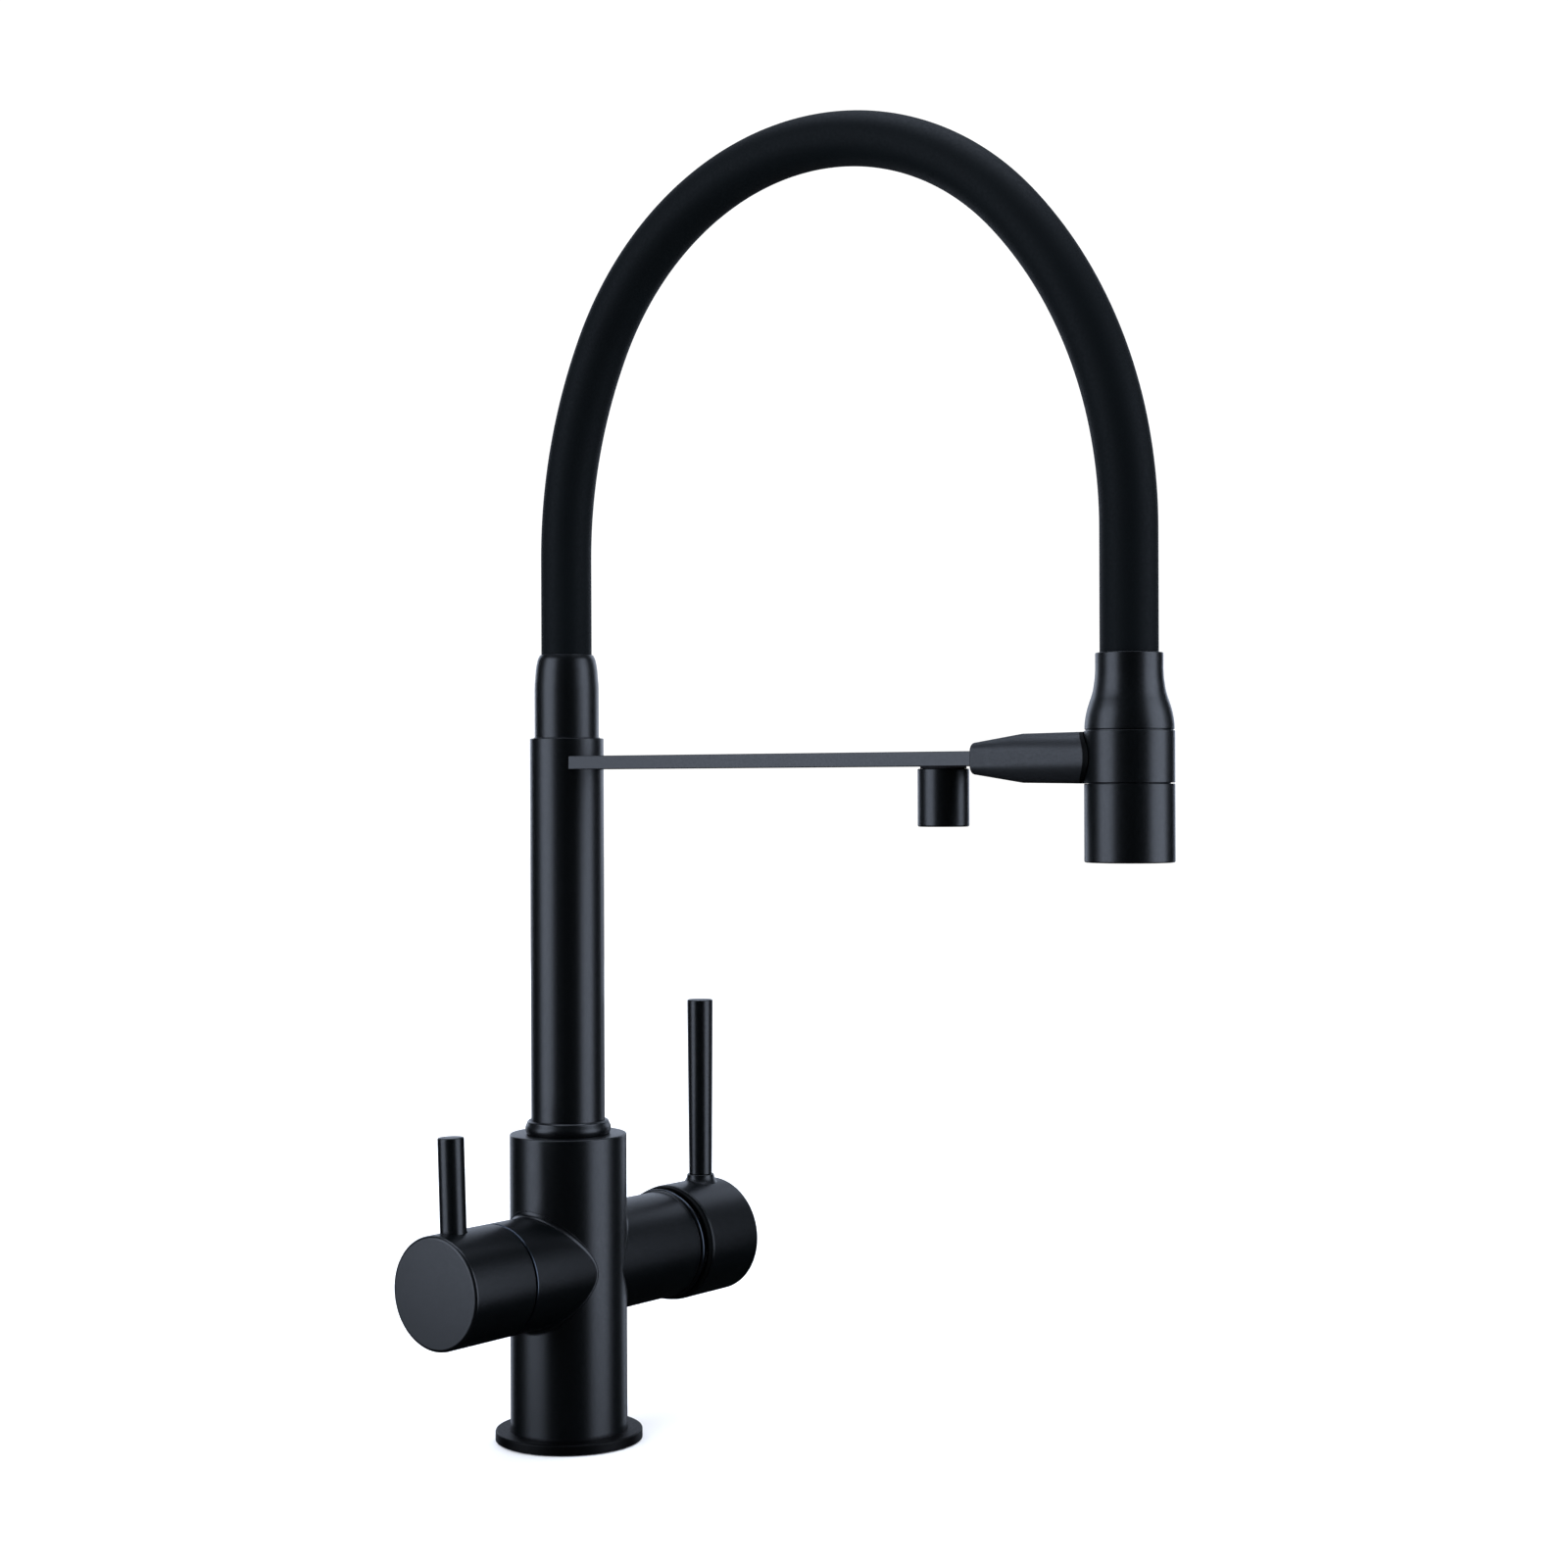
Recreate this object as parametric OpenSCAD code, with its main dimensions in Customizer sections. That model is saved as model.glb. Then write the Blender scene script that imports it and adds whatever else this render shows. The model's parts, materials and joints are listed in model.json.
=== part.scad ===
// Kitchen mixer tap with a flexible hose spout, a spray head held by a magnetic
// dock, and a second outlet for filtered water with its own quarter-turn handle.
// Millimetres, +Z up. The origin is the centre of the base's underside, the
// spout points towards -Y, the mixer lever is on +X, the filter handle on -X.

/* [Base and body] */
// Diameter of the base flange
base_d = 56; // [53:0.5:66]
// Thickness of the base flange
base_h = 3.8; // [3.6:0.1:6]
// Opening in the base flange for the supply hoses
base_hole_d = 35; // [34:0.5:38]
// Diameter of the tap body
body_d = 44.5; // [43.5:0.5:48]
// Height of the body above the flange
body_h = 112.4; // [108:0.2:130]
// Height of both handle axes above the flange
handle_h = 62.1; // [58:0.1:64]
// Tapping bore for the M8 mounting stud
stud_d = 6.8; // [5:0.1:7.5]
// Tapping bore for each M10 x 1 supply hose
inlet_d = 9; // [8:0.1:9.4]
// Depth of the stud and supply bores
inlet_depth = 14; // [10:1:20]
// Diameter of the water ways drilled in the body
way_d = 6; // [4:0.5:6.5]

/* [Swivel and column] */
// Diameter of the swivel spigot
spigot_d = 23.8; // [22.6:0.1:24.2]
// Length of the spigot inside the body
spigot_h = 31.6; // [30.5:0.1:33]
// Height of the swivel bearing bush
bush_h = 5.2; // [3:0.2:5.6]
// Wall of the swivel bearing bush
bush_wall = 2.2; // [1.5:0.1:3]
// Largest diameter of the bead ring at the column's foot
ring_d = 32.6; // [31.4:0.2:36]
// Height of the bead ring
ring_h = 5.2; // [4.6:0.1:8]
// Diameter of the column
column_d = 28; // [27.6:0.1:28.8]
// Wall of the column
column_wall = 1.5; // [1.2:0.1:1.6]
// Height of the column above the bead ring
column_h = 145.4; // [120:0.2:200]

/* [Hose] */
// Outside diameter of the hose cover
hose_d = 19.2; // [18:0.1:19.8]
// Wall of the hose cover
cover_wall = 2.6; // [2:0.1:3]
// Wall of the water hose inside the cover
liner_wall = 2.5; // [2:0.1:2.9]
// Distance from the column's axis to the spray head's axis
reach = 245; // [225:1:280]
// Straight stretch of hose above the ferrule
hose_rise = 36.5; // [20:0.5:60]
// Bend radius of the hose where it leaves the column side
column_bend_r = 176; // [140:1:200]
// Angle that the hose turns through on that radius
column_bend_a = 27; // [15:1:32]
// Bend radius of the hose where it comes down to the head
head_bend_r = 158; // [130:1:190]
// Angle that the hose turns through on that radius
head_bend_a = 44; // [30:1:48]
// Diameter of the ferrule on the column
ferrule_d = 24.4; // [23:0.1:26]
// Height of the ferrule above the column
ferrule_h = 31.8; // [26:0.2:40]

/* [Arm and filtered-water outlet] */
// Width of the arm
arm_w = 20; // [18:0.5:21]
// Thickness of the arm
arm_t = 5; // [4.6:0.1:5.4]
// Depth of the arm's centre below the column's top
arm_drop = 9.3; // [9.2:0.1:10]
// Distance from the spray head's axis back to the filtered-water outlet
outlet_back = 72.6; // [70:0.2:120]
// Diameter of the filtered-water outlet
outlet_d = 17.7; // [16.6:0.1:19]
// Height of the filtered-water outlet
outlet_h = 19.8; // [16:0.2:30]

/* [Dock] */
// Length of the dock, from its near end to the spray head's axis
dock_len = 55; // [48:1:60]
// Length of the dock's taper
dock_taper = 18; // [10:1:22]
// Width of the dock at its near end
dock_root_w = 22; // [21.5:0.1:24]
// Height of the dock at its near end
dock_root_h = 10.6; // [9.6:0.1:12]
// Width of the dock at the head
dock_w = 25.5; // [24.5:0.1:27]
// Height of the dock at the head
dock_h = 17.2; // [15:0.1:18]
// Thickness of the rubber pad between dock and head
pad_t = 1.2; // [0.8:0.1:2]

/* [Spray head] */
// Diameter of the head's band and nozzle
head_d = 29.5; // [29:0.1:31]
// Wall of the head's shells
head_wall = 1.4; // [1.2:0.1:1.6]
// Height of the band that the dock holds
band_h = 17; // [16.8:0.1:19]
// Height of the nozzle below the band
nozzle_h = 25.6; // [24:0.2:34]
// Height of the neck above the band
neck_h = 25; // [22:0.1:32]
// Diameter of the neck where the hose enters
neck_d = 22.1; // [21.6:0.1:23]
// Distance that the head can be drawn straight off its dock
undock_travel = 40; // [20:1:60]

/* [Mixer handle] */
// Distance from the body's axis to the mixer side's end face
mixer_face = 56; // [55:0.5:62]
// Diameter of the mixer side's stub
mixer_stub_d = 41.6; // [41:0.1:43]
// Diameter of the rolled lip at the stub's end
lip_d = 43.6; // [43.2:0.1:44.4]
// Gap between the lip and the lever's cap
lever_gap = 4; // [3:0.1:5]
// Diameter of the cap at its open end
mixer_cap_d = 45.6; // [45:0.1:47]
// Diameter of the cap at its closed end
mixer_cap_end_d = 45.4; // [44:0.1:45.6]
// Length of the cap
mixer_cap_len = 28.9; // [27:0.1:32]
// Wall of the cap
mixer_cap_wall = 2.1; // [1.6:0.1:2.4]
// Distance from the cap's open end to the lever rod
mixer_rod_at = 20.2; // [19:0.1:21]
// Height of the mixer rod's top above the handle axis
mixer_rod_h = 95.9; // [70:0.1:120]
// Diameter of the mixer rod at its foot
rod_foot_d = 9.3; // [8.8:0.1:9.6]
// Diameter of the mixer rod at its top
rod_top_d = 10.4; // [9.2:0.1:10.6]
// Depth of the lift pivot behind the stub's end face
pivot_depth = 11; // [10.6:0.1:12]
// Diameter of the mixing cartridge
cartridge_d = 35; // [34:0.1:35.6]
// Length of the mixing cartridge
cartridge_h = 24; // [22:0.5:25]

/* [Filter handle] */
// Distance from the body's axis to the filter side's end face
filter_face = 40.2; // [39.8:0.1:46]
// Diameter of the filter side's stub and cap
filter_d = 42; // [40:0.1:43]
// Length of the filter cap
filter_cap_len = 31.7; // [30.4:0.1:36]
// Gap between the stub and the cap
filter_gap = 0.4; // [0.3:0.1:1]
// Wall of the filter cap
filter_cap_wall = 2.2; // [1.8:0.1:3]
// Distance from the cap's open end to its rod
filter_rod_at = 21; // [20:0.1:22]
// Height of the filter rod's top above the handle axis
filter_rod_h = 55.3; // [40:0.1:80]
// Diameter of the filter rod
filter_rod_d = 9.7; // [9:0.1:10.4]
// Lean of the filter rod to the back when the handle is shut
filter_rod_lean = 2; // [0:0.5:5]
// Thread diameter of the quarter-turn headwork
headwork_d = 20.4; // [19:0.1:21]
// Diameter of the headwork's spindle
spindle_d = 8; // [7:0.1:8.4]

/* [Fits] */
// Radial clearance of a turning fit
turn_fit = 0.08; // [0.04:0.01:0.1]
// Radial clearance of pieces that are screwed or slid together
seat_fit = 0.05; // [0.03:0.01:0.08]
// Gap between flat faces of pieces that turn on each other
face_gap = 0.15; // [0.1:0.01:0.2]
// Visible seam between two shells
seam = 0.3; // [0.3:0.05:0.6]

/* [Hidden] */
$fn = 64;
eps = 0.01;
hex = 6;

// Heights of the fixed body
base_recess = 0.8;
gasket_h = 1.6;
gasket_d = 45.4;
gasket_w = 2.4;
body_z = base_h - base_recess;
body_top = base_h + body_h;
handle_z = base_h + handle_h;
edge = 0.6;

// Supply bores, in plan, in a plate in the body's foot
plate_d = 34;
inlet_x = 8.5;
inlet_y = 8;
filter_inlet_x = 11;
out_way_x = 3;
out_way_rise = 9;
filter_way_d = 3.6;

// Swivel spigot, measured down from the body's top
spigot_bottom = body_top - spigot_h;
bore_bottom = spigot_bottom - 0.6;
groove_drop = 11.2;
groove_h = 3.2;
groove_depth = 1.3;
port_drop = 25.2;
port_h = 3;
port_depth = 1.6;
port_way_d = 2.4;
seal_cord = 2.4;
seal_groove = 2.7;
seal_drops = [14.6, 21.2, 29.2];
thrust_h = 1.7;
thrust_d = spigot_d + 3;
mixed_y = 3.5;
mixed_d = 8;
filtered_y = -6.9;
filtered_d = 5;
tube_wall = 1;
tube_in = 13;
plug_h = 24;
screw_d = 4.9;
screw_tip_d = 2.8;
screw_tip = 2;
hex_key = 2.6;
hex_depth = 2.4;

// Column, arm root and ferrule
ring_z = body_top + face_gap;
ring_top = body_top + ring_h;
ring_top_d = column_d + 2;
column_bore = column_d - 2 * column_wall;
column_z = ring_z + thrust_h;
column_top = ring_top + column_h;
plug_d = column_bore - 2 * seat_fit;
arm_z = column_top - arm_drop;
arm_low = arm_z - arm_t / 2;
plug_low = arm_low - 9;
duct_w = 5;
duct_h = arm_t - 2.4;
tenon_w = 13;
tenon_in = 4.4;
tail_thread_d = 12;
tail_thread_h = 5.4;
arm_screw_x = 4.6;
arm_screw_y = 8.6;
arm_screw_d = 2.4;
arm_screw_head_d = 4.4;
arm_screw_head_h = 1.8;
ferrule_top = column_top + ferrule_h;
ferrule_floor = 1.2;
flange_t = 3.8;
hose_low = column_top + ferrule_floor + flange_t + 0.2;

// Hose route in the plane x = 0, as arcs that follow each other
cover_bore = hose_d - 2 * cover_wall;
liner_d = cover_bore - 4 * seat_fit;
liner_bore = liner_d - 2 * liner_wall;
barb_d = liner_bore - 2 * seat_fit;
barb_bore = barb_d - 2.4;
barb_h = 20;
collar_d = hose_d - 0.2;
arch_z = ferrule_top + hose_rise;
turned = 180 - head_bend_a;
crown_r = (reach - column_bend_r * (1 - cos(column_bend_a)) - head_bend_r * (1 + cos(turned)))
    / (cos(column_bend_a) - cos(turned));
crown_y = -column_bend_r + (column_bend_r - crown_r) * cos(column_bend_a);
crown_z = arch_z + (column_bend_r - crown_r) * sin(column_bend_a);
head_arc_y = crown_y + (crown_r - head_bend_r) * cos(turned);
head_arc_z = crown_z + (crown_r - head_bend_r) * sin(turned);
joint_h = 1;
joint_over = 0.06;
bend_trim = 0.05;

// Spray head and dock, whose centre lies a little above the arm's
head_z = arm_z + 0.2;
dock_z = head_z - 0.25;
band_low = head_z - band_h / 2;
band_top = band_low + band_h;
nozzle_top = band_low - seam;
nozzle_low = nozzle_top - nozzle_h;
neck_low = band_top + seam;
neck_top = neck_low + neck_h;
neck_bulge_h = 7;
hose_end = neck_low + 5.6;
shell_bore = head_d - 2 * head_wall;
core_d = 24.2;
core_low = nozzle_low + 4.2;
nut_d = 22;
nut_h = 7.4;
stem_d = 12;
stem_flange_d = 16;
stem_flange_h = 4;
tip_d = 10;
tip_h = 10;
plate_t = 3;
plate_inset = 0.9;
magnet_d = 10;
magnet_h = 7;
dock_round = 0.46;
dock_start = reach - dock_len;
outlet_reach = reach - outlet_back;
dock_cut_r = head_d / 2 + 0.35 + pad_t;
dock_arm_end = reach - dock_cut_r - magnet_h - 1;
dock_screw_y = (dock_start + dock_taper + dock_arm_end) / 2;
dock_screw_d = 2.4;
dock_screw_in = 3;
dock_screw_head_d = 4.4;
outlet_thread_d = 7.8;
outlet_seal_t = 0.8;

// Mixer side, measured along +X
lip_h = 1.4;
skirt_len = lever_gap - 1.8;
skirt_t = 1;
pivot_x = mixer_face - pivot_depth;
cartridge_top = pivot_x - 1;
cartridge_base = cartridge_top - cartridge_h;
retainer_d = 37.6;
retainer_h = 6;
retainer_bore = 26.4;
rotor_d = 23.8;
disc_t = 2.8;
stem_w = 6;
mixer_grub_len = (mixer_cap_d - stem_w) / 2 - mixer_cap_wall - 1.7;
stem_in = 7;
stem_out = 31;
pin_d = 3;
dome_inset = 0.2;
dome_r = norm([pivot_depth, lip_d / 2 - dome_inset]);
dome_t = 1.5;
dome_rise = 5.4;
cap_x = mixer_face + lever_gap;
cap_end_x = cap_x + mixer_cap_len;
cap_end_t = 4.3;
boss_d = 12.8;
boss_at = 4;
web_at = 8;
web_len = 8;
web_w = 8;
mixer_grub_at = 12;
rod_x = cap_x + mixer_rod_at;
rod_collar_d = rod_foot_d + 2;
rod_collar_h = 2.4;
rod_thread_d = 7.8;
rod_thread_h = 6.5;

// Filter side, measured along -X
filter_cap_x = filter_face + filter_gap;
filter_end_x = filter_cap_x + filter_cap_len;
headwork_in = filter_face - 23.2;
headwork_flange = filter_face - 6.3;
headwork_flange_d = 24;
headwork_flange_t = 4;
headwork_neck_d = 14;
headwork_neck_end = filter_face + 3.8;
headwork_bore_d = 16;
headwork_recess_d = 33;
small_disc_t = 2;
hub_d = 15;
hub_gap = 2;
spindle_end = filter_cap_x + 18;
filter_end_t = 4;
filter_web_at = 9;
filter_web_len = 8;
filter_web_w = 7;
filter_grub_d = 3.9;
filter_grub_len = (filter_d - spindle_d) / 2 - filter_cap_wall - 0.5;

// Colours, as they look on the object
black = "#14171b";
satin = "#262a30";
rubber = "#101214";
steel = "#b8bcc0";
brass = "#c6a04c";
pale = "#e6e4dc";
grey = "#8d9095";

// Shared shapes

// A tube that stands on z = 0
module tube(d, bore, h) {
    difference() {
        cylinder(d = d, h = h);
        translate([0, 0, -eps]) cylinder(d = bore, h = h + 2 * eps);
    }
}

// A cylinder with both rims broken by the same chamfer
module soft_disc(d, h, c = 0.4) {
    r = d / 2;
    rotate_extrude() polygon([[0, 0], [r - c, 0], [r, c], [r, h - c], [r - c, h], [0, h]]);
}

// A round seal about the z axis, from the radius that its outside reaches
module seal_ring(outer_r, cord) {
    rotate_extrude() translate([outer_r - cord / 2, 0]) circle(d = cord);
}

// Lays a shape that is built along +Z along +X or -X, on the handle axis
module mixer_side(x) {
    translate([x, 0, handle_z]) rotate([0, 90, 0]) children();
}
module filter_side(x) {
    translate([-x, 0, handle_z]) rotate([0, -90, 0]) children();
}

// A headless screw that points up, with its hexagon socket at the bottom
module grub(d, len) {
    difference() {
        soft_disc(d, len, 0.3);
        translate([0, 0, -eps]) cylinder(d = hex_key, h = hex_depth, $fn = hex);
    }
}

// One bend of the hose as a tube, about a centre at (y, z)
module hose_bend(d, bore, y, z, r, from, angle) {
    translate([0, y, z]) rotate([90, 0, 90]) rotate([0, 0, from + bend_trim])
        rotate_extrude(angle = angle - 2 * bend_trim) translate([r, 0]) difference() {
            circle(d = d);
            circle(d = bore);
        }
}

// A short sleeve that joins two stretches at (y, z), turned by an angle
module hose_joint(d, bore, y, z, angle) {
    translate([0, y, z]) rotate([angle, 0, 0]) translate([0, 0, -joint_h / 2])
        tube(d + joint_over, bore - joint_over, joint_h);
}

// The whole route of the hose as a tube: up, over in three bends, and down
module hose_tube(d, bore) {
    rise = arch_z - hose_low - joint_h / 4;
    fall = head_arc_z - hose_end - joint_h / 4;
    first = column_bend_a;
    translate([0, 0, hose_low]) tube(d, bore, rise);
    hose_joint(d, bore, 0, arch_z, 0);
    hose_bend(d, bore, -column_bend_r, arch_z, column_bend_r, 0, first);
    hose_joint(d, bore, crown_y + crown_r * cos(first), crown_z + crown_r * sin(first), first);
    hose_bend(d, bore, crown_y, crown_z, crown_r, first, turned - first);
    hose_joint(d, bore, crown_y + crown_r * cos(turned), crown_z + crown_r * sin(turned), turned);
    hose_bend(d, bore, head_arc_y, head_arc_z, head_bend_r, turned, head_bend_a);
    hose_joint(d, bore, -reach, head_arc_z, 0);
    translate([0, -reach, hose_end]) tube(d, bore, fall);
}

// Rings of small holes, as rods to cut with
module hole_rings(hole_d, first_r, step_r, rings, h) {
    cylinder(d = hole_d, h = h, $fn = 16);
    for (ring = [1:rings]) {
        count = 6 * ring;
        for (i = [0:count - 1]) {
            rotate([0, 0, i * 360 / count])
                translate([first_r + step_r * (ring - 1), 0, 0])
                cylinder(d = hole_d, h = h, $fn = 16);
        }
    }
}

// Base and body

module base_flange() {
    color(black) difference() {
        rotate_extrude() polygon([
            [0, 0], [base_d / 2, 0], [base_d / 2, base_h - edge],
            [base_d / 2 - edge, base_h], [0, base_h]
        ]);
        translate([0, 0, -eps]) cylinder(d = base_hole_d, h = base_h + 2 * eps);
        translate([0, 0, body_z]) cylinder(d = body_d + 2 * seat_fit, h = base_h);
        translate([0, 0, -eps]) tube(
            gasket_d + gasket_w + 2 * seat_fit,
            gasket_d - gasket_w - 2 * seat_fit,
            gasket_h + seat_fit + eps);
    }
}

module base_gasket() {
    color(rubber) tube(gasket_d + gasket_w, gasket_d - gasket_w, gasket_h);
}

module tap_body() {
    color(black) difference() {
        translate([0, 0, body_z]) soft_disc(body_d, body_top - body_z);
        translate([0, 0, body_z - eps])
            cylinder(d = plate_d + 2 * seat_fit, h = inlet_depth + eps);
        mixer_bores();
        filter_bores();
        swivel_bores();
    }
}

// Side stub with the lip that faces the mixer's cap
module mixer_stub() {
    color(black) difference() {
        union() {
            mixer_side(0) cylinder(d = mixer_stub_d, h = mixer_face - lip_h);
            mixer_side(mixer_face - lip_h - eps)
                cylinder(d1 = mixer_stub_d, d2 = lip_d, h = lip_h - 0.4);
            mixer_side(mixer_face - 0.4 - 2 * eps)
                cylinder(d1 = lip_d, d2 = lip_d - 0.4, h = 0.4 + 2 * eps);
        }
        cylinder(d = body_d, h = body_top);
        mixer_bores();
    }
}

// Side stub of the filter's headwork
module filter_stub() {
    color(black) difference() {
        union() {
            filter_side(0) cylinder(d = filter_d, h = filter_face - 0.4);
            filter_side(filter_face - 0.4 - eps)
                cylinder(d1 = filter_d, d2 = filter_d - 0.8, h = 0.4 + eps);
        }
        cylinder(d = body_d, h = body_top);
        filter_bores();
    }
}

// Threaded plate in the body's foot: the stud and the three supply hoses
module inlet_plate() {
    color(brass) translate([0, 0, body_z]) difference() {
        cylinder(d = plate_d, h = inlet_depth);
        translate([0, 0, -eps]) cylinder(d = stud_d, h = inlet_depth + 2 * eps);
        for (side = [-1, 1]) {
            translate([inlet_x, side * inlet_y, -eps])
                cylinder(d = inlet_d, h = inlet_depth + 2 * eps);
        }
        translate([-filter_inlet_x, 0, -eps])
            cylinder(d = inlet_d, h = inlet_depth + 2 * eps);
    }
}

// Cartridge seat and the ways that feed it
module mixer_bores() {
    mixer_side(cartridge_base)
        cylinder(d = cartridge_d + 2 * seat_fit, h = cartridge_h + eps);
    mixer_side(cartridge_top)
        cylinder(d = retainer_d + 2 * seat_fit, h = mixer_face - cartridge_top + 1);
    for (side = [-1, 1]) {
        translate([inlet_x, side * inlet_y, body_z])
            cylinder(d = way_d, h = handle_z - body_z + way_d / 2);
        translate([0, side * inlet_y, 0]) mixer_side(inlet_x)
            cylinder(d = way_d, h = cartridge_base - inlet_x + eps);
    }
    translate([0, 0, out_way_rise]) mixer_side(out_way_x)
        cylinder(d = way_d, h = cartridge_base - out_way_x + eps);
    translate([out_way_x, 0, handle_z + out_way_rise - way_d / 2])
        cylinder(d = way_d, h = bore_bottom - handle_z - out_way_rise + way_d / 2 + eps);
}

// Headwork seat, its recess and the ways to and from it
module filter_bores() {
    filter_side(headwork_in)
        cylinder(d = headwork_d + 2 * seat_fit, h = filter_face - headwork_in);
    filter_side(headwork_flange) cylinder(d = headwork_recess_d, h = filter_face);
    translate([-filter_inlet_x, 0, body_z])
        cylinder(d = filter_way_d, h = handle_z - body_z);
    filter_side(filter_inlet_x - filter_way_d / 2)
        cylinder(d = filter_way_d, h = headwork_in - filter_inlet_x + filter_way_d);
    translate([-headwork_in - filter_way_d / 2, 0, handle_z])
        cylinder(d = filter_way_d, h = body_top - port_drop - handle_z);
    translate([-headwork_in - filter_way_d, 0, body_top - port_drop])
        rotate([0, 90, 0]) cylinder(d = filter_way_d, h = headwork_in);
}

// Spigot bore, bush seat and the lock screw's hole
module swivel_bores() {
    translate([0, 0, bore_bottom])
        cylinder(d = spigot_d + 2 * turn_fit, h = body_top - bore_bottom + 1);
    translate([0, 0, body_top - bush_h - seat_fit])
        cylinder(d = spigot_d + 2 * turn_fit + 2 * bush_wall, h = bush_h + 1);
    translate([0, 0, body_top - groove_drop + groove_h / 2]) rotate([-90, 0, 0])
        cylinder(d = screw_d + 2 * seat_fit, h = body_d);
}

module swivel_bush() {
    color(pale) translate([0, 0, body_top - bush_h])
        tube(spigot_d + 2 * turn_fit + 2 * bush_wall - 2 * seat_fit,
             spigot_d + 2 * turn_fit, bush_h);
}

module swivel_lock_screw() {
    body_len = body_d / 2 - spigot_d / 2 - 2.2;
    color(steel) translate([0, 0, body_top - groove_drop + groove_h / 2])
        rotate([90, 0, 0]) translate([0, 0, -body_d / 2 + 1]) {
            grub(screw_d, body_len);
            translate([0, 0, body_len - eps]) cylinder(d = screw_tip_d, h = screw_tip + eps);
        }
}

// Mixing cartridge and what turns in it

module mixer_cartridge() {
    rotor_bore = rotor_d + 2 * turn_fit;
    color(pale) difference() {
        union() {
            mixer_side(cartridge_base + seat_fit)
                cylinder(d = cartridge_d, h = cartridge_h - seat_fit);
            mixer_side(cartridge_top - eps)
                cylinder(d = retainer_bore - 2 * seat_fit, h = 3.5);
        }
        mixer_side(cartridge_base + 2) cylinder(d = rotor_bore, h = cartridge_h + 10);
        for (side = [-1, 1]) {
            translate([0, side * inlet_y, 0]) mixer_side(cartridge_base - eps)
                cylinder(d = way_d - 1, h = 3);
            translate([0, side * inlet_y, 0]) mixer_side(cartridge_base - eps)
                cylinder(d = way_d + 3.1, h = 1.5);
        }
        translate([0, 0, out_way_rise]) mixer_side(cartridge_base - eps)
            cylinder(d = way_d - 1, h = 3);
        translate([0, 0, out_way_rise]) mixer_side(cartridge_base - eps)
            cylinder(d = way_d + 3.1, h = 1.5);
    }
}

module cartridge_seals() {
    color(rubber) {
        for (side = [-1, 1]) {
            translate([0, side * inlet_y, 0]) mixer_side(cartridge_base + seat_fit)
                tube(way_d + 3, way_d - 1, 1.4);
        }
        translate([0, 0, out_way_rise]) mixer_side(cartridge_base + seat_fit)
            tube(way_d + 3, way_d - 1, 1.4);
    }
}

module cartridge_fixed_disc() {
    color(pale) difference() {
        mixer_side(cartridge_base + 2 + seat_fit) cylinder(d = rotor_d - 0.2, h = disc_t);
        for (side = [-1, 1]) {
            translate([0, side * inlet_y, 0]) mixer_side(cartridge_base)
                cylinder(d = way_d - 1, h = disc_t + 3);
        }
        translate([0, 0, out_way_rise]) mixer_side(cartridge_base)
            cylinder(d = way_d - 2, h = disc_t + 3);
    }
}

module cartridge_moving_disc() {
    color(grey) mixer_side(cartridge_base + 2 + disc_t + face_gap + seat_fit)
        difference() {
            cylinder(d = rotor_d - 0.4, h = disc_t);
            translate([0, 0, -eps]) cylinder(d = 11, h = disc_t / 2);
        }
}

module cartridge_rotor() {
    rotor_x = cartridge_base + 2 + 2 * disc_t + face_gap + 3 * seat_fit;
    color(grey) difference() {
        mixer_side(rotor_x) cylinder(d = rotor_d, h = pivot_x + 4 - rotor_x);
        translate([pivot_x - stem_in - 2, -stem_w / 2 - turn_fit, handle_z - 8.5])
            cube([stem_in + 8, stem_w + 2 * turn_fit, 17]);
        translate([pivot_x, -rotor_d, handle_z]) rotate([-90, 0, 0])
            cylinder(d = pin_d + 2 * seat_fit, h = 2 * rotor_d);
    }
}

module lift_pin() {
    pin_len = rotor_d - 2;
    color(steel) translate([pivot_x, -pin_len / 2, handle_z]) rotate([-90, 0, 0])
        cylinder(d = pin_d, h = pin_len);
}

module cartridge_retainer() {
    slot_w = 4;
    color(brass) difference() {
        mixer_side(cartridge_top + seat_fit) tube(retainer_d, retainer_bore, retainer_h);
        for (turn = [0, 90]) {
            mixer_side(cartridge_top + retainer_h - 1.5) rotate([0, 0, turn])
                translate([-retainer_d / 2 - 1, -slot_w / 2, 0])
                cube([retainer_d + 2, slot_w, 3]);
        }
    }
}

// Spherical cover in the gap behind the lever's cap, centred on the lift pivot
module cartridge_dome() {
    skirt_x = cartridge_top + retainer_h + 2 * seat_fit + 0.2;
    skirt_d = retainer_d;
    color(rubber) {
        intersection() {
            mixer_side(mixer_face + seat_fit)
                cylinder(d = 2 * dome_r, h = dome_rise);
            difference() {
                translate([pivot_x, 0, handle_z]) rotate([0, 90, 0]) sphere(r = dome_r);
                translate([pivot_x, 0, handle_z]) rotate([0, 90, 0])
                    sphere(r = dome_r - dome_t);
            }
        }
        mixer_side(skirt_x) tube(skirt_d, skirt_d - 4, mixer_face - skirt_x + eps);
        mixer_side(mixer_face + seat_fit) tube(2 * sqrt(pow(dome_r - dome_t / 2, 2)
            - pow(pivot_depth + 1, 2)), skirt_d - 4, 1);
        mixer_side(mixer_face - eps) tube(skirt_d, skirt_d - 4, seat_fit + 2 * eps);
    }
}

// Mixer lever

module lever_stem() {
    color(steel) difference() {
        translate([pivot_x - stem_in, -stem_w / 2, handle_z - stem_w / 2])
            cube([stem_in + stem_out, stem_w, stem_w]);
        translate([pivot_x, -stem_w, handle_z]) rotate([-90, 0, 0])
            cylinder(d = pin_d + 2 * turn_fit, h = 2 * stem_w);
    }
}

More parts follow.
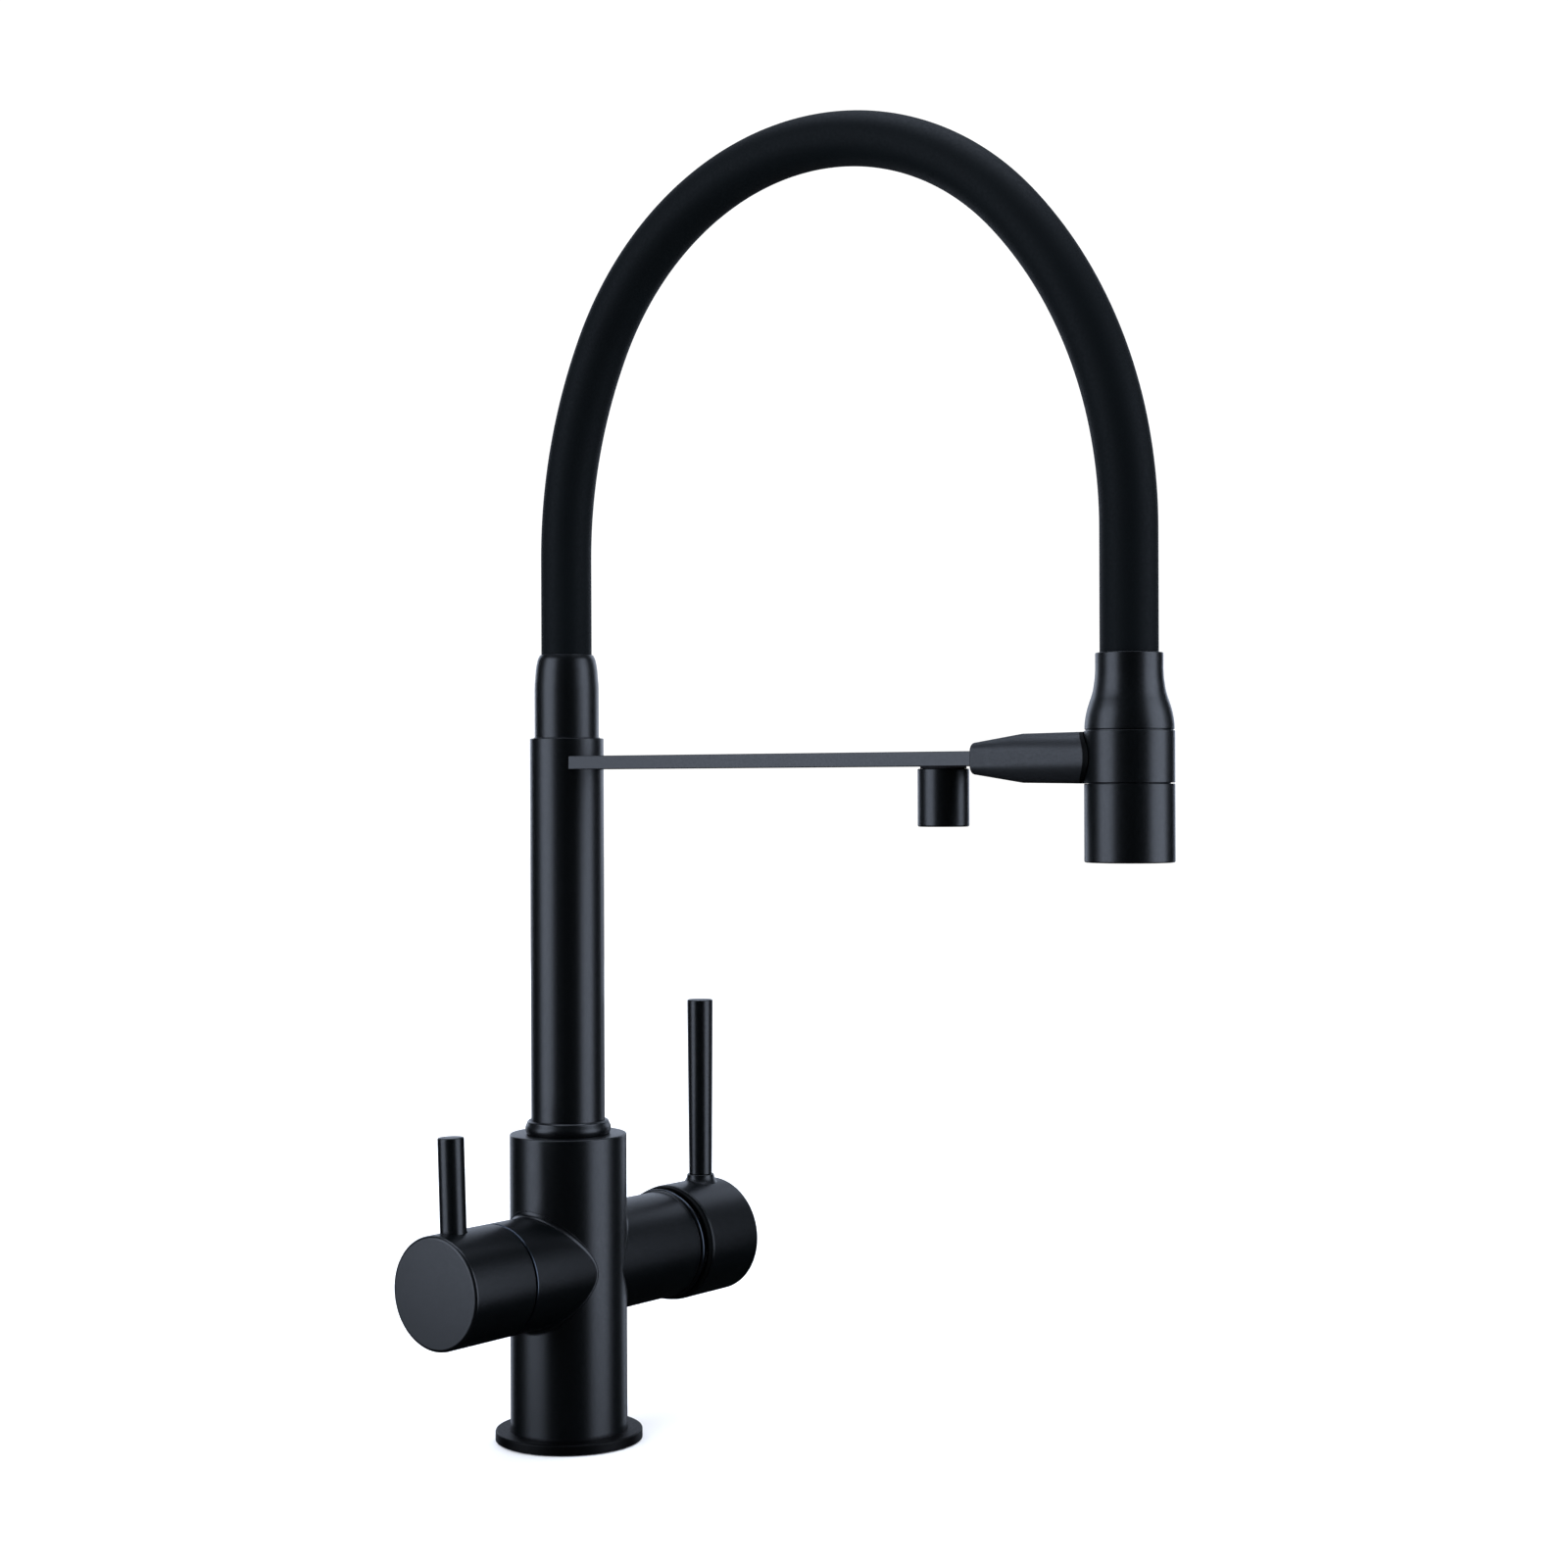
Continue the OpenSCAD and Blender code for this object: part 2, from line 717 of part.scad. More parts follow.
module mixer_cap() {
    rear_r = mixer_cap_d / 2;
    end_r = mixer_cap_end_d / 2;
    inner_r = rear_r - mixer_cap_wall;
    skirt_r = rear_r - 0.4;
    inner_end_r = end_r - mixer_cap_wall;
    len = mixer_cap_len;
    hole_w = stem_w + 2 * seat_fit;
    hole_len = pivot_x + stem_out - cap_x + 0.5;
    color(black) difference() {
        union() {
            mixer_side(cap_x) rotate_extrude() polygon([
                [skirt_r - skirt_t, -skirt_len], [skirt_r, -skirt_len], [skirt_r, 0],
                [rear_r, rear_r - skirt_r],
                [end_r, len - edge], [end_r - edge, len], [0, len],
                [0, len - cap_end_t], [inner_end_r, len - cap_end_t],
                [inner_r, 0], [skirt_r - skirt_t, 0]
            ]);
            mixer_side(cap_x + boss_at) cylinder(d = boss_d, h = len - boss_at - 1);
            translate([cap_x + web_at, -web_w / 2, handle_z - inner_r - 0.6])
                cube([web_len, web_w, inner_r - stem_w / 2 + 0.6]);
            translate([rod_x, 0, handle_z + inner_r + 0.5])
                cylinder(d = rod_collar_d, h = end_r - inner_r + rod_collar_h - 0.5);
        }
        translate([cap_x, -hole_w / 2, handle_z - hole_w / 2])
            cube([hole_len, hole_w, hole_w]);
        translate([cap_x + mixer_grub_at, 0, handle_z - rear_r - 1])
            cylinder(d = screw_d + 2 * seat_fit, h = rear_r + 1);
        translate([rod_x, 0, handle_z + end_r + rod_collar_h - rod_thread_h - 0.3])
            cylinder(d = rod_thread_d + 2 * seat_fit, h = rod_thread_h + 5);
    }
}

module mixer_rod() {
    foot_z = handle_z + mixer_cap_end_d / 2 + rod_collar_h + seat_fit;
    color(black) translate([rod_x, 0, 0])
        lever_rod(foot_z, handle_z + mixer_rod_h, rod_foot_d / 2, rod_top_d / 2);
}

// A rod between two heights, with its thread below the foot
module lever_rod(foot_z, top_z, foot_r, top_r) {
    len = top_z - foot_z;
    translate([0, 0, foot_z]) rotate_extrude() polygon([
        [0, 0], [foot_r - 0.3, 0], [foot_r, 0.3], [top_r, len - edge],
        [top_r - edge, len], [0, len]
    ]);
    translate([0, 0, foot_z - rod_thread_h]) cylinder(d = rod_thread_d, h = rod_thread_h + eps);
}

module mixer_grub_screw() {
    top = stem_w / 2 + seat_fit;
    color(steel) translate([cap_x + mixer_grub_at, 0, handle_z - top - mixer_grub_len])
        grub(screw_d, mixer_grub_len);
}

// Quarter-turn headwork of the filtered water

module filter_headwork() {
    color(brass) difference() {
        union() {
            filter_side(headwork_in + 1)
                cylinder(d = headwork_d, h = headwork_flange - headwork_in - 1 + eps);
            filter_side(headwork_flange + 1.1)
                cylinder(d = headwork_flange_d, h = headwork_flange_t, $fn = hex);
            filter_side(headwork_flange - eps) cylinder(d = headwork_d, h = 1.2 + eps);
            filter_side(headwork_flange)
                cylinder(d = headwork_neck_d, h = headwork_neck_end - headwork_flange);
        }
        filter_side(headwork_in) cylinder(d = headwork_bore_d, h = 8);
        filter_side(headwork_in) cylinder(d = spindle_d + 2 * turn_fit, h = filter_face);
        translate([-headwork_in - filter_way_d / 2 - 1.8, 0, handle_z])
            cylinder(d = filter_way_d, h = headwork_d);
    }
}

module headwork_seal() {
    color(rubber) filter_side(headwork_flange + seat_fit)
        tube(headwork_flange_d, headwork_d + 2 * seat_fit, 1);
}

module headwork_fixed_disc() {
    color(pale) filter_side(headwork_in + 1)
        tube(headwork_bore_d - 2 * seat_fit, filter_way_d, small_disc_t);
}

module headwork_moving_disc() {
    color(grey) filter_side(headwork_in + 1 + small_disc_t + face_gap) difference() {
        cylinder(d = headwork_bore_d - 0.4, h = small_disc_t);
        translate([-headwork_bore_d, 0.8, -eps])
            cube([2 * headwork_bore_d, headwork_bore_d, small_disc_t / 2]);
    }
}

module filter_spindle() {
    flange_x = headwork_in + 1 + 2 * small_disc_t + face_gap + seat_fit;
    color(steel) {
        filter_side(flange_x) cylinder(d = headwork_bore_d - 0.8, h = 2);
        filter_side(flange_x) cylinder(d = spindle_d, h = spindle_end - flange_x);
    }
}

// Turns the handle about its axis by the lean that it has when shut
module filter_lean() {
    translate([0, 0, handle_z]) rotate([-filter_rod_lean, 0, 0])
        translate([0, 0, -handle_z]) children();
}

module filter_cap() {
    r = filter_d / 2;
    inner_r = r - filter_cap_wall;
    len = filter_cap_len;
    color(black) filter_lean() difference() {
        union() {
            filter_side(filter_cap_x) rotate_extrude() polygon([
                [inner_r, 0], [r - 0.4, 0], [r, 0.4], [r, len - 1.3], [r - 0.3, len - 0.5],
                [r - 0.9, len - 0.1], [r - 1.3, len], [0, len],
                [0, len - filter_end_t], [inner_r, len - filter_end_t]
            ]);
            filter_side(headwork_neck_end + hub_gap)
                cylinder(d = hub_d, h = filter_end_x - headwork_neck_end - hub_gap - 1);
            translate([
                -filter_cap_x - filter_web_at - filter_web_len, -filter_web_w / 2,
                handle_z - inner_r - 0.6
            ]) cube([filter_web_len, filter_web_w, inner_r - spindle_d / 2 + 0.6]);
        }
        filter_side(filter_cap_x)
            cylinder(d = spindle_d + 2 * seat_fit, h = spindle_end - filter_cap_x + 0.5);
        translate([-filter_cap_x - filter_web_at - filter_web_len / 2, 0, handle_z - r - 1])
            cylinder(d = filter_grub_d + 2 * seat_fit, h = r + 1);
        translate([-filter_cap_x - filter_rod_at, 0, handle_z + r - rod_thread_h - 0.3])
            cylinder(d = rod_thread_d + 2 * seat_fit, h = rod_thread_h + 5);
        translate([-filter_cap_x - filter_rod_at, 0, handle_z + r - 0.8])
            cylinder(d = filter_rod_d + 0.5, h = 5);
    }
}

module filter_rod() {
    color(black) filter_lean() translate([-filter_cap_x - filter_rod_at, 0, 0])
        lever_rod(handle_z + filter_d / 2 - 0.8 + seat_fit, handle_z + filter_rod_h,
            filter_rod_d / 2, filter_rod_d / 2);
}

module filter_grub_screw() {
    top = spindle_d / 2 + seat_fit;
    color(steel) filter_lean() translate([
        -filter_cap_x - filter_web_at - filter_web_len / 2, 0, handle_z - top - filter_grub_len
    ]) grub(filter_grub_d, filter_grub_len);
}

// Swivel and column

module swivel_spigot() {
    color(brass) difference() {
        union() {
            translate([0, 0, spigot_bottom]) cylinder(d = spigot_d, h = spigot_h + face_gap);
            translate([0, 0, ring_z]) cylinder(d = thrust_d, h = thrust_h);
            translate([0, 0, ring_z])
                cylinder(d = plug_d, h = thrust_h + plug_h);
        }
        translate([0, mixed_y, spigot_bottom - eps])
            cylinder(d = mixed_d - 2 * tube_wall, h = spigot_h + plug_h + 10);
        translate([0, mixed_y, ring_z + thrust_h + plug_h - tube_in])
            cylinder(d = mixed_d + 2 * seat_fit, h = tube_in + 1);
        translate([0, filtered_y, body_top - port_drop])
            cylinder(d = filtered_d - 2 * tube_wall, h = port_drop + plug_h + 10);
        translate([0, filtered_y, ring_z + thrust_h + plug_h - tube_in])
            cylinder(d = filtered_d + 2 * seat_fit, h = tube_in + 1);
        translate([0, 0, body_top - port_drop - port_h / 2])
            tube(spigot_d + 1, spigot_d - 2 * port_depth, port_h);
        translate([0, filtered_y, body_top - port_drop]) rotate([90, 0, 0])
            cylinder(d = port_way_d, h = spigot_d);
        translate([0, 0, body_top - groove_drop])
            tube(spigot_d + 1, spigot_d - 2 * groove_depth, groove_h);
        for (drop = seal_drops) {
            translate([0, 0, body_top - drop - seal_groove / 2])
                tube(spigot_d + 1, spigot_d - 2 * seal_cord, seal_groove);
        }
    }
}

module spigot_seals() {
    color(rubber) for (drop = seal_drops) {
        translate([0, 0, body_top - drop]) seal_ring(spigot_d / 2, seal_cord - 0.1);
    }
}

module bead_ring() {
    foot_r = ring_d / 2 - 0.5;
    color(black) difference() {
        translate([0, 0, ring_z]) rotate_extrude() union() {
            polygon([
                [0, 0], [foot_r, 0], [ring_d / 2, ring_h * 0.3], [ring_d / 2, ring_h * 0.5],
                [ring_top_d / 2 + 0.6, ring_h - face_gap - 0.8],
                [ring_top_d / 2, ring_h - face_gap], [0, ring_h - face_gap]
            ]);
        }
        translate([0, 0, ring_z - eps]) cylinder(d = thrust_d + 2 * seat_fit, h = ring_h + 1);
        translate([0, 0, column_z]) cylinder(d = column_d + 2 * seat_fit, h = ring_h);
    }
}

module column() {
    color(black) difference() {
        translate([0, 0, column_z + seat_fit]) tube(column_d, column_bore,
            column_top - column_z - seat_fit);
        translate([-tenon_w / 2 - seat_fit, -column_d, arm_low - seat_fit])
            cube([tenon_w + 2 * seat_fit, column_d, arm_t + 2 * seat_fit]);
    }
}

module mixed_water_tube() {
    low = column_z + plug_h - tube_in + 0.3;
    color(pale) translate([0, mixed_y, low])
        tube(mixed_d, mixed_d - 2 * tube_wall, plug_low + tube_in - 5.3 - low);
}

module filtered_water_tube() {
    low = column_z + plug_h - tube_in + 0.3;
    color(pale) translate([0, filtered_y, low])
        tube(filtered_d, filtered_d - 2 * tube_wall, plug_low + tube_in - 5.3 - low);
}

// Arm root, arm and the filtered-water outlet

module arm_plug() {
    socket = tube_in - 5;
    color(brass) difference() {
        translate([0, 0, plug_low]) cylinder(d = plug_d, h = column_top - plug_low);
        translate([0, mixed_y, plug_low - eps])
            cylinder(d = mixed_d + 2 * seat_fit, h = socket);
        translate([0, mixed_y, plug_low]) cylinder(d = mixed_d - 2 * tube_wall,
            h = column_top - plug_low - tail_thread_h + 0.5);
        translate([0, filtered_y, plug_low - eps])
            cylinder(d = filtered_d + 2 * seat_fit, h = socket);
        translate([0, filtered_y, plug_low]) cylinder(d = filtered_d - 2 * tube_wall,
            h = arm_z - plug_low);
        translate([-tenon_w / 2 - seat_fit, -column_d, arm_low - seat_fit])
            cube([tenon_w + 2 * seat_fit, column_d - tenon_in + 2 * seat_fit,
                arm_t + 2 * seat_fit]);
        translate([0, 0, column_top - tail_thread_h])
            cylinder(d = tail_thread_d + 2 * seat_fit, h = tail_thread_h + 1);
        for (side = [-1, 1]) {
            translate([side * arm_screw_x, -arm_screw_y, arm_low - 4])
                cylinder(d = arm_screw_d + 2 * seat_fit, h = 30);
            translate([side * arm_screw_x, -arm_screw_y,
                column_top - arm_screw_head_h - 0.3])
                cylinder(d = arm_screw_head_d + 2 * seat_fit, h = 5);
        }
    }
}

module arm_screws() {
    color(steel) for (side = [-1, 1]) {
        translate([side * arm_screw_x, -arm_screw_y, 0]) {
            translate([0, 0, arm_low - 3.5]) cylinder(d = arm_screw_d,
                h = column_top - arm_low + 3.5 - arm_screw_head_h);
            difference() {
                translate([0, 0, column_top - arm_screw_head_h - 0.2])
                    cylinder(d = arm_screw_head_d, h = arm_screw_head_h);
                translate([0, 0, column_top - 1.2]) cylinder(d = 2, h = 3, $fn = hex);
            }
        }
    }
}

module arm_bar() {
    color(black) difference() {
        union() {
            translate([-arm_w / 2, -dock_arm_end, arm_low])
                cube([arm_w, dock_arm_end, arm_t]);
            translate([-tenon_w / 2, -column_d / 2 - 2, arm_low])
                cube([tenon_w, column_d / 2 + 2 - tenon_in, arm_t]);
        }
        difference() {
            translate([0, 0, arm_low - 1])
                cylinder(d = column_d + 2 * seat_fit, h = arm_t + 2);
            translate([-tenon_w / 2, -column_d, arm_low - 2])
                cube([tenon_w, column_d - tenon_in, arm_t + 4]);
        }
        translate([-arm_w, -tenon_in, arm_low - 1]) cube([2 * arm_w, column_d, arm_t + 2]);
        translate([-duct_w / 2, -outlet_reach - 3, arm_low + 1.2])
            cube([duct_w, outlet_reach + 3 - tenon_in - 1, duct_h]);
        translate([0, filtered_y, arm_low - eps])
            cylinder(d = filtered_d - 2 * tube_wall, h = arm_t / 2);
        translate([0, -outlet_reach, arm_low - eps])
            cylinder(d = outlet_thread_d + 2 * seat_fit, h = 1.2 + duct_h);
        for (side = [-1, 1]) {
            translate([side * arm_screw_x, -arm_screw_y, arm_low - 1])
                cylinder(d = arm_screw_d + 2 * seat_fit, h = arm_t + 2);
        }
        translate([0, -dock_screw_y, arm_low - 1])
            cylinder(d = dock_screw_d + 2 * seat_fit, h = dock_screw_in + 1.4);
    }
}

module filter_outlet() {
    top = arm_low - outlet_seal_t;
    chamber = 4.6;
    color(black) difference() {
        union() {
            translate([0, -outlet_reach, top - outlet_h]) soft_disc(outlet_d, outlet_h);
            translate([0, -outlet_reach, top - eps])
                cylinder(d = outlet_thread_d, h = outlet_seal_t + 1.2 + duct_h - seat_fit);
        }
        translate([0, -outlet_reach, top - outlet_h - eps])
            cylinder(d = outlet_d - 2.6, h = chamber + eps);
        translate([0, -outlet_reach, top - outlet_h])
            cylinder(d = 4.6, h = outlet_h + outlet_seal_t + 2.4);
        translate([0, -outlet_reach - 6, arm_low + 1.2 + 1]) rotate([-90, 0, 0])
            cylinder(d = 1.8, h = 12);
    }
}

module outlet_seal() {
    color(rubber) translate([0, -outlet_reach, arm_low - outlet_seal_t + seat_fit])
        tube(outlet_d - 1.8, outlet_thread_d + 2 * seat_fit, outlet_seal_t - 2 * seat_fit);
}

module outlet_aerator() {
    low = arm_low - outlet_seal_t - outlet_h;
    color(satin) difference() {
        translate([0, -outlet_reach, low + 0.6])
            cylinder(d = outlet_d - 2.6 - 2 * seat_fit, h = 3.6);
        translate([0, -outlet_reach, low]) hole_rings(1.5, 2.6, 2.6, 2, 6);
    }
}

// Dock

// The dock's outside: a tapered sleeve with rounded long edges
module dock_section(y, w, h) {
    corner = dock_round * h;
    translate([0, -y, dock_z]) rotate([90, 0, 0]) linear_extrude(0.1) hull()
        for (sx = [-1, 1], sz = [-1, 1]) {
            translate([sx * (w / 2 - corner), sz * (h / 2 - corner)])
                circle(r = corner, $fn = 40);
        }
}

module dock_sleeve() {
    color(satin) difference() {
        union() {
            hull() {
                dock_section(dock_start, dock_root_w, dock_root_h);
                dock_section(dock_start + dock_taper, dock_w - 1, dock_h - 0.8);
            }
            hull() {
                dock_section(dock_start + dock_taper, dock_w - 1, dock_h - 0.8);
                dock_section(reach - 6, dock_w, dock_h);
            }
        }
        translate([0, -reach, dock_z - dock_h]) cylinder(r = dock_cut_r, h = 2 * dock_h);
        translate([-arm_w / 2 - seat_fit, -dock_arm_end - seat_fit, arm_low - seat_fit])
            cube([arm_w + 2 * seat_fit, dock_arm_end, arm_t + 2 * seat_fit]);
        translate([0, -dock_arm_end - 0.6, arm_z]) rotate([90, 0, 0])
            cylinder(d = magnet_d + 2 * seat_fit, h = 30);
        translate([0, -dock_screw_y, arm_low - dock_h])
            cylinder(d = dock_screw_head_d + 2 * seat_fit, h = dock_h - 1.5);
        translate([0, -dock_screw_y, arm_low - dock_h])
            cylinder(d = dock_screw_d + 2 * seat_fit, h = dock_h);
    }
}

module dock_magnet() {
    color(grey) translate([0, -dock_arm_end - 0.7, arm_z]) rotate([90, 0, 0])
        cylinder(d = magnet_d, h = magnet_h);
}

module dock_pad() {
    color(rubber) intersection() {
        translate([0, -reach, dock_z - dock_h]) tube(2 * dock_cut_r - 2 * seat_fit,
            2 * (dock_cut_r - pad_t), 2 * dock_h);
        hull() {
            dock_section(dock_start + dock_taper, dock_w - 1, dock_h - 0.8);
            dock_section(reach - 6, dock_w, dock_h);
        }
    }
}

module dock_screw() {
    head_h = 1.8;
    low = arm_low - 1.5 - seat_fit - head_h;
    color(steel) translate([0, -dock_screw_y, 0]) difference() {
        union() {
            translate([0, 0, low]) cylinder(d = dock_screw_head_d, h = head_h);
            translate([0, 0, low]) cylinder(d = dock_screw_d, h = arm_low - low + dock_screw_in);
        }
        translate([0, 0, low - eps]) cylinder(d = 2, h = 1.2, $fn = hex);
    }
}

// Hose and its ends

module hose_ferrule() {
    r = ferrule_d / 2;
    h = ferrule_h;
    color(black) translate([0, 0, column_top + seat_fit]) difference() {
        rotate_extrude() polygon([
            [0, 0], [r - 0.3, 0], [r, 0.3], [r, h - 12], [r - 0.2, h - 8],
            [r - 0.6, h - 4.5], [r - 1.3, h - 1.5], [r - 1.9, h - 0.4],
            [r - 2.1, h - seat_fit], [0, h - seat_fit]
        ]);
        translate([0, 0, ferrule_floor]) cylinder(d = hose_d + 2 * seat_fit, h = h);
        translate([0, 0, -eps]) cylinder(d = tail_thread_d + 2 * seat_fit, h = 3);
    }
}

module hose_tail() {
    flange_z = column_top + 2 * seat_fit + ferrule_floor;
    color(brass) difference() {
        union() {
            translate([0, 0, column_top - tail_thread_h + 0.1]) cylinder(
                d = tail_thread_d, h = flange_z - column_top + tail_thread_h);
            translate([0, 0, flange_z]) cylinder(d = collar_d, h = flange_t);
            translate([0, 0, flange_z]) cylinder(d = barb_d, h = flange_t + barb_h);
        }
        translate([0, 0, column_top - tail_thread_h])
            cylinder(d = barb_bore, h = tail_thread_h + flange_t + barb_h + 5);
    }
}

module hose_cover() {
    color(rubber) hose_tube(hose_d, cover_bore);
}

module hose_liner() {
    color(pale) hose_tube(liner_d, liner_bore);
}

// Spray head

module head_neck() {
    r = neck_d / 2;
    base_r = head_d / 2 - 0.15;
    h = neck_h;
    color(black) translate([0, -reach, neck_low]) difference() {
        rotate_extrude() polygon([
            [0, 0], [base_r - 0.3, 0], [base_r, 0.3], [base_r - 0.1, 2],
            [base_r - 0.5, neck_bulge_h - 1.5], [base_r - 1.3, neck_bulge_h + 1.3],
            [r + 1.2, neck_bulge_h + 4], [r + 0.45, neck_bulge_h + 7.7],
            [r, neck_bulge_h + 11], [r, h - 0.3], [r - 0.3, h], [0, h]
        ]);
        translate([0, 0, hose_end - neck_low - flange_t])
            cylinder(d = hose_d + 2 * seat_fit, h = h);
        translate([0, 0, -eps]) cylinder(d = stem_d + 2 * turn_fit, h = h);
    }
}

module head_stem() {
    flange_z = band_top - nut_h - 0.3 - stem_flange_h - face_gap;
    color(brass) translate([0, -reach, 0]) difference() {
        union() {
            translate([0, 0, hose_end - flange_t + seat_fit])
                cylinder(d = collar_d, h = flange_t - 2 * seat_fit);
            translate([0, 0, hose_end - flange_t])
                cylinder(d = barb_d, h = flange_t + barb_h);
            translate([0, 0, flange_z])
                cylinder(d = stem_d, h = hose_end - flange_z - 1);
            translate([0, 0, flange_z]) cylinder(d = stem_flange_d, h = stem_flange_h);
            translate([0, 0, flange_z - tip_h]) cylinder(d = tip_d, h = tip_h + eps);
        }
        translate([0, 0, flange_z - tip_h - 1]) cylinder(d = barb_bore,
            h = hose_end - flange_z + barb_h + tip_h + 2);
        translate([0, 0, flange_z - tip_h + 3]) tube(tip_d + 1, tip_d - 3.2, 2);
    }
}

module stem_seal() {
    flange_z = band_top - nut_h - 0.3 - stem_flange_h - face_gap;
    color(rubber) translate([0, -reach, flange_z - tip_h + 4])
        seal_ring(tip_d / 2, 1.5);
}

module head_band() {
    color(black) translate([0, -reach, band_low]) difference() {
        soft_disc(head_d, band_h, 0.3);
        translate([0, 0, -eps]) cylinder(d = shell_bore, h = band_h + 2 * eps);
    }
}

module head_steel_ring() {
    color(steel) translate([0, -reach, band_low + 2])
        tube(shell_bore - 2 * seat_fit, core_d + 2 * seat_fit, band_h - 4);
}

module head_nozzle() {
    color(black) translate([0, -reach, nozzle_low]) difference() {
        soft_disc(head_d, nozzle_h, 0.5);
        translate([0, 0, -eps]) cylinder(d = shell_bore, h = nozzle_h + 2 * eps);
    }
}

module head_core() {
    nut_z = band_top - nut_h - 0.3;
    flange_z = nut_z - stem_flange_h - face_gap;
    collar_h = 4;
    color(satin) translate([0, -reach, 0]) difference() {
        union() {
            translate([0, 0, core_low]) cylinder(d = core_d, h = band_top - 0.3 - core_low);
            translate([0, 0, core_low]) cylinder(d = shell_bore - 2 * seat_fit, h = collar_h);
            translate([0, 0, band_low - collar_h - seam / 2])
                cylinder(d = shell_bore - 2 * seat_fit, h = collar_h + 1.8);
        }
        translate([0, 0, nut_z]) cylinder(d = nut_d + 2 * seat_fit, h = nut_h + 1);
        translate([0, 0, flange_z - 0.2])
            cylinder(d = stem_flange_d + 2 * turn_fit, h = stem_flange_h + 5);
        translate([0, 0, flange_z - tip_h - 7])
            cylinder(d = tip_d + 2 * turn_fit, h = tip_h + 8);
        translate([0, 0, core_low - eps]) cylinder(d = 20, h = 3);
        translate([0, 0, core_low]) cylinder(d = 6, h = 20);
    }
}

module head_swivel_nut() {
    nut_z = band_top - nut_h - 0.3;
    color(brass) translate([0, -reach, nut_z + seat_fit])
        tube(nut_d, stem_d + 2 * turn_fit, nut_h - 2 * seat_fit);
}

module check_valve() {
    top = band_top - nut_h - 0.3 - stem_flange_h - face_gap - tip_h;
    color(pale) translate([0, -reach, top - 6.5]) difference() {
        cylinder(d = tip_d - 2 * seat_fit, h = 6);
        translate([0, 0, -eps]) hole_rings(1.6, 2.8, 0, 1, 8);
    }
}

module spray_plate() {
    color(satin) translate([0, -reach, nozzle_low + plate_inset]) difference() {
        soft_disc(shell_bore - 2 * seat_fit, plate_t, 0.3);
        translate([0, 0, -eps]) hole_rings(1.3, 3.2, 3, 3, plate_t + 1);
    }
}

base_flange();
base_gasket();
tap_body();
mixer_stub();
filter_stub();
inlet_plate();
swivel_bush();
swivel_lock_screw();
mixer_cartridge();
cartridge_seals();
cartridge_fixed_disc();
cartridge_retainer();
cartridge_dome();
cartridge_rotor();
cartridge_moving_disc();
lift_pin();
lever_stem();
mixer_cap();
mixer_rod();
mixer_grub_screw();
filter_headwork();
headwork_seal();
headwork_fixed_disc();
headwork_moving_disc();
filter_spindle();
filter_cap();
filter_rod();
filter_grub_screw();
swivel_spigot();
spigot_seals();
bead_ring();
column();
mixed_water_tube();
filtered_water_tube();
arm_plug();
arm_screws();
arm_bar();
filter_outlet();
outlet_seal();
outlet_aerator();
dock_sleeve();
dock_magnet();
dock_pad();
dock_screw();
hose_ferrule();
hose_tail();
hose_cover();
hose_liner();
head_neck();
head_stem();
stem_seal();
head_band();
head_steel_ring();
head_nozzle();
head_core();
head_swivel_nut();
check_valve();
spray_plate();
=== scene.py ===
"""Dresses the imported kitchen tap: powder-coated metal, a silicone hose, a spray head in its
dock and two handles, on a pale floor in soft studio light. Sizes inside the classes are in
millimetres and turn to metres when a piece is finished."""

import json
import logging
import math
from dataclasses import dataclass, field
from enum import Enum
from typing import Any, Sequence

import bmesh
import bpy
from mathutils import Matrix, Vector


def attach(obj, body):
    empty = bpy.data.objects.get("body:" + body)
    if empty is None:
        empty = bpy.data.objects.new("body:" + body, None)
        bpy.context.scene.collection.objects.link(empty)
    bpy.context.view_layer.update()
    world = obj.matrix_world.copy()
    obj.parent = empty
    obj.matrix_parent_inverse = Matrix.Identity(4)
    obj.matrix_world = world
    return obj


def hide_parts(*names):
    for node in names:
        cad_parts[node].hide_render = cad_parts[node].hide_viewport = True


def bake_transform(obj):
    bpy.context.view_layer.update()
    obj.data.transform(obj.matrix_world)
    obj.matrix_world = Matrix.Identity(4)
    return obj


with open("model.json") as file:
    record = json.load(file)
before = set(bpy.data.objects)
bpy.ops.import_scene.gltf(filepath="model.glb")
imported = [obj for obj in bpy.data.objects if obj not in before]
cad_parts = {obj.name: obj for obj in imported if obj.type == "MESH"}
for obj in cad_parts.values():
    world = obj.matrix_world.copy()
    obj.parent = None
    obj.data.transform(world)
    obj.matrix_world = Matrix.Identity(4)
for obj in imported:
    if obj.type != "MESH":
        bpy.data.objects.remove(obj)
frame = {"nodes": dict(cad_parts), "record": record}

logging.basicConfig(level=logging.INFO, format="%(name)s: %(message)s")
LOG = logging.getLogger("tap")

BMesh = bmesh.types.BMesh
BMEdge = bmesh.types.BMEdge
Node = bpy.types.Node
NodeTree = bpy.types.NodeTree

MM = 0.001
HANDLE_Z = 65.9
COLUMN_TOP = 266.8
REACH = 245.0
OUTLET_REACH = 172.4


class Body(Enum):
    """The bodies that the joints move, as the record names them."""

    TAP = "tap"
    SPOUT = "spout"
    HOSE_END = "hose_end"
    HEAD = "head"
    MIXER_TURN = "mixer_turn"
    MIXER_HANDLE = "mixer_handle"
    FILTER_HANDLE = "filter_handle"


class Combine(Enum):
    """What one solid does to another."""

    JOIN = "UNION"
    CUT = "DIFFERENCE"
    KEEP = "INTERSECT"


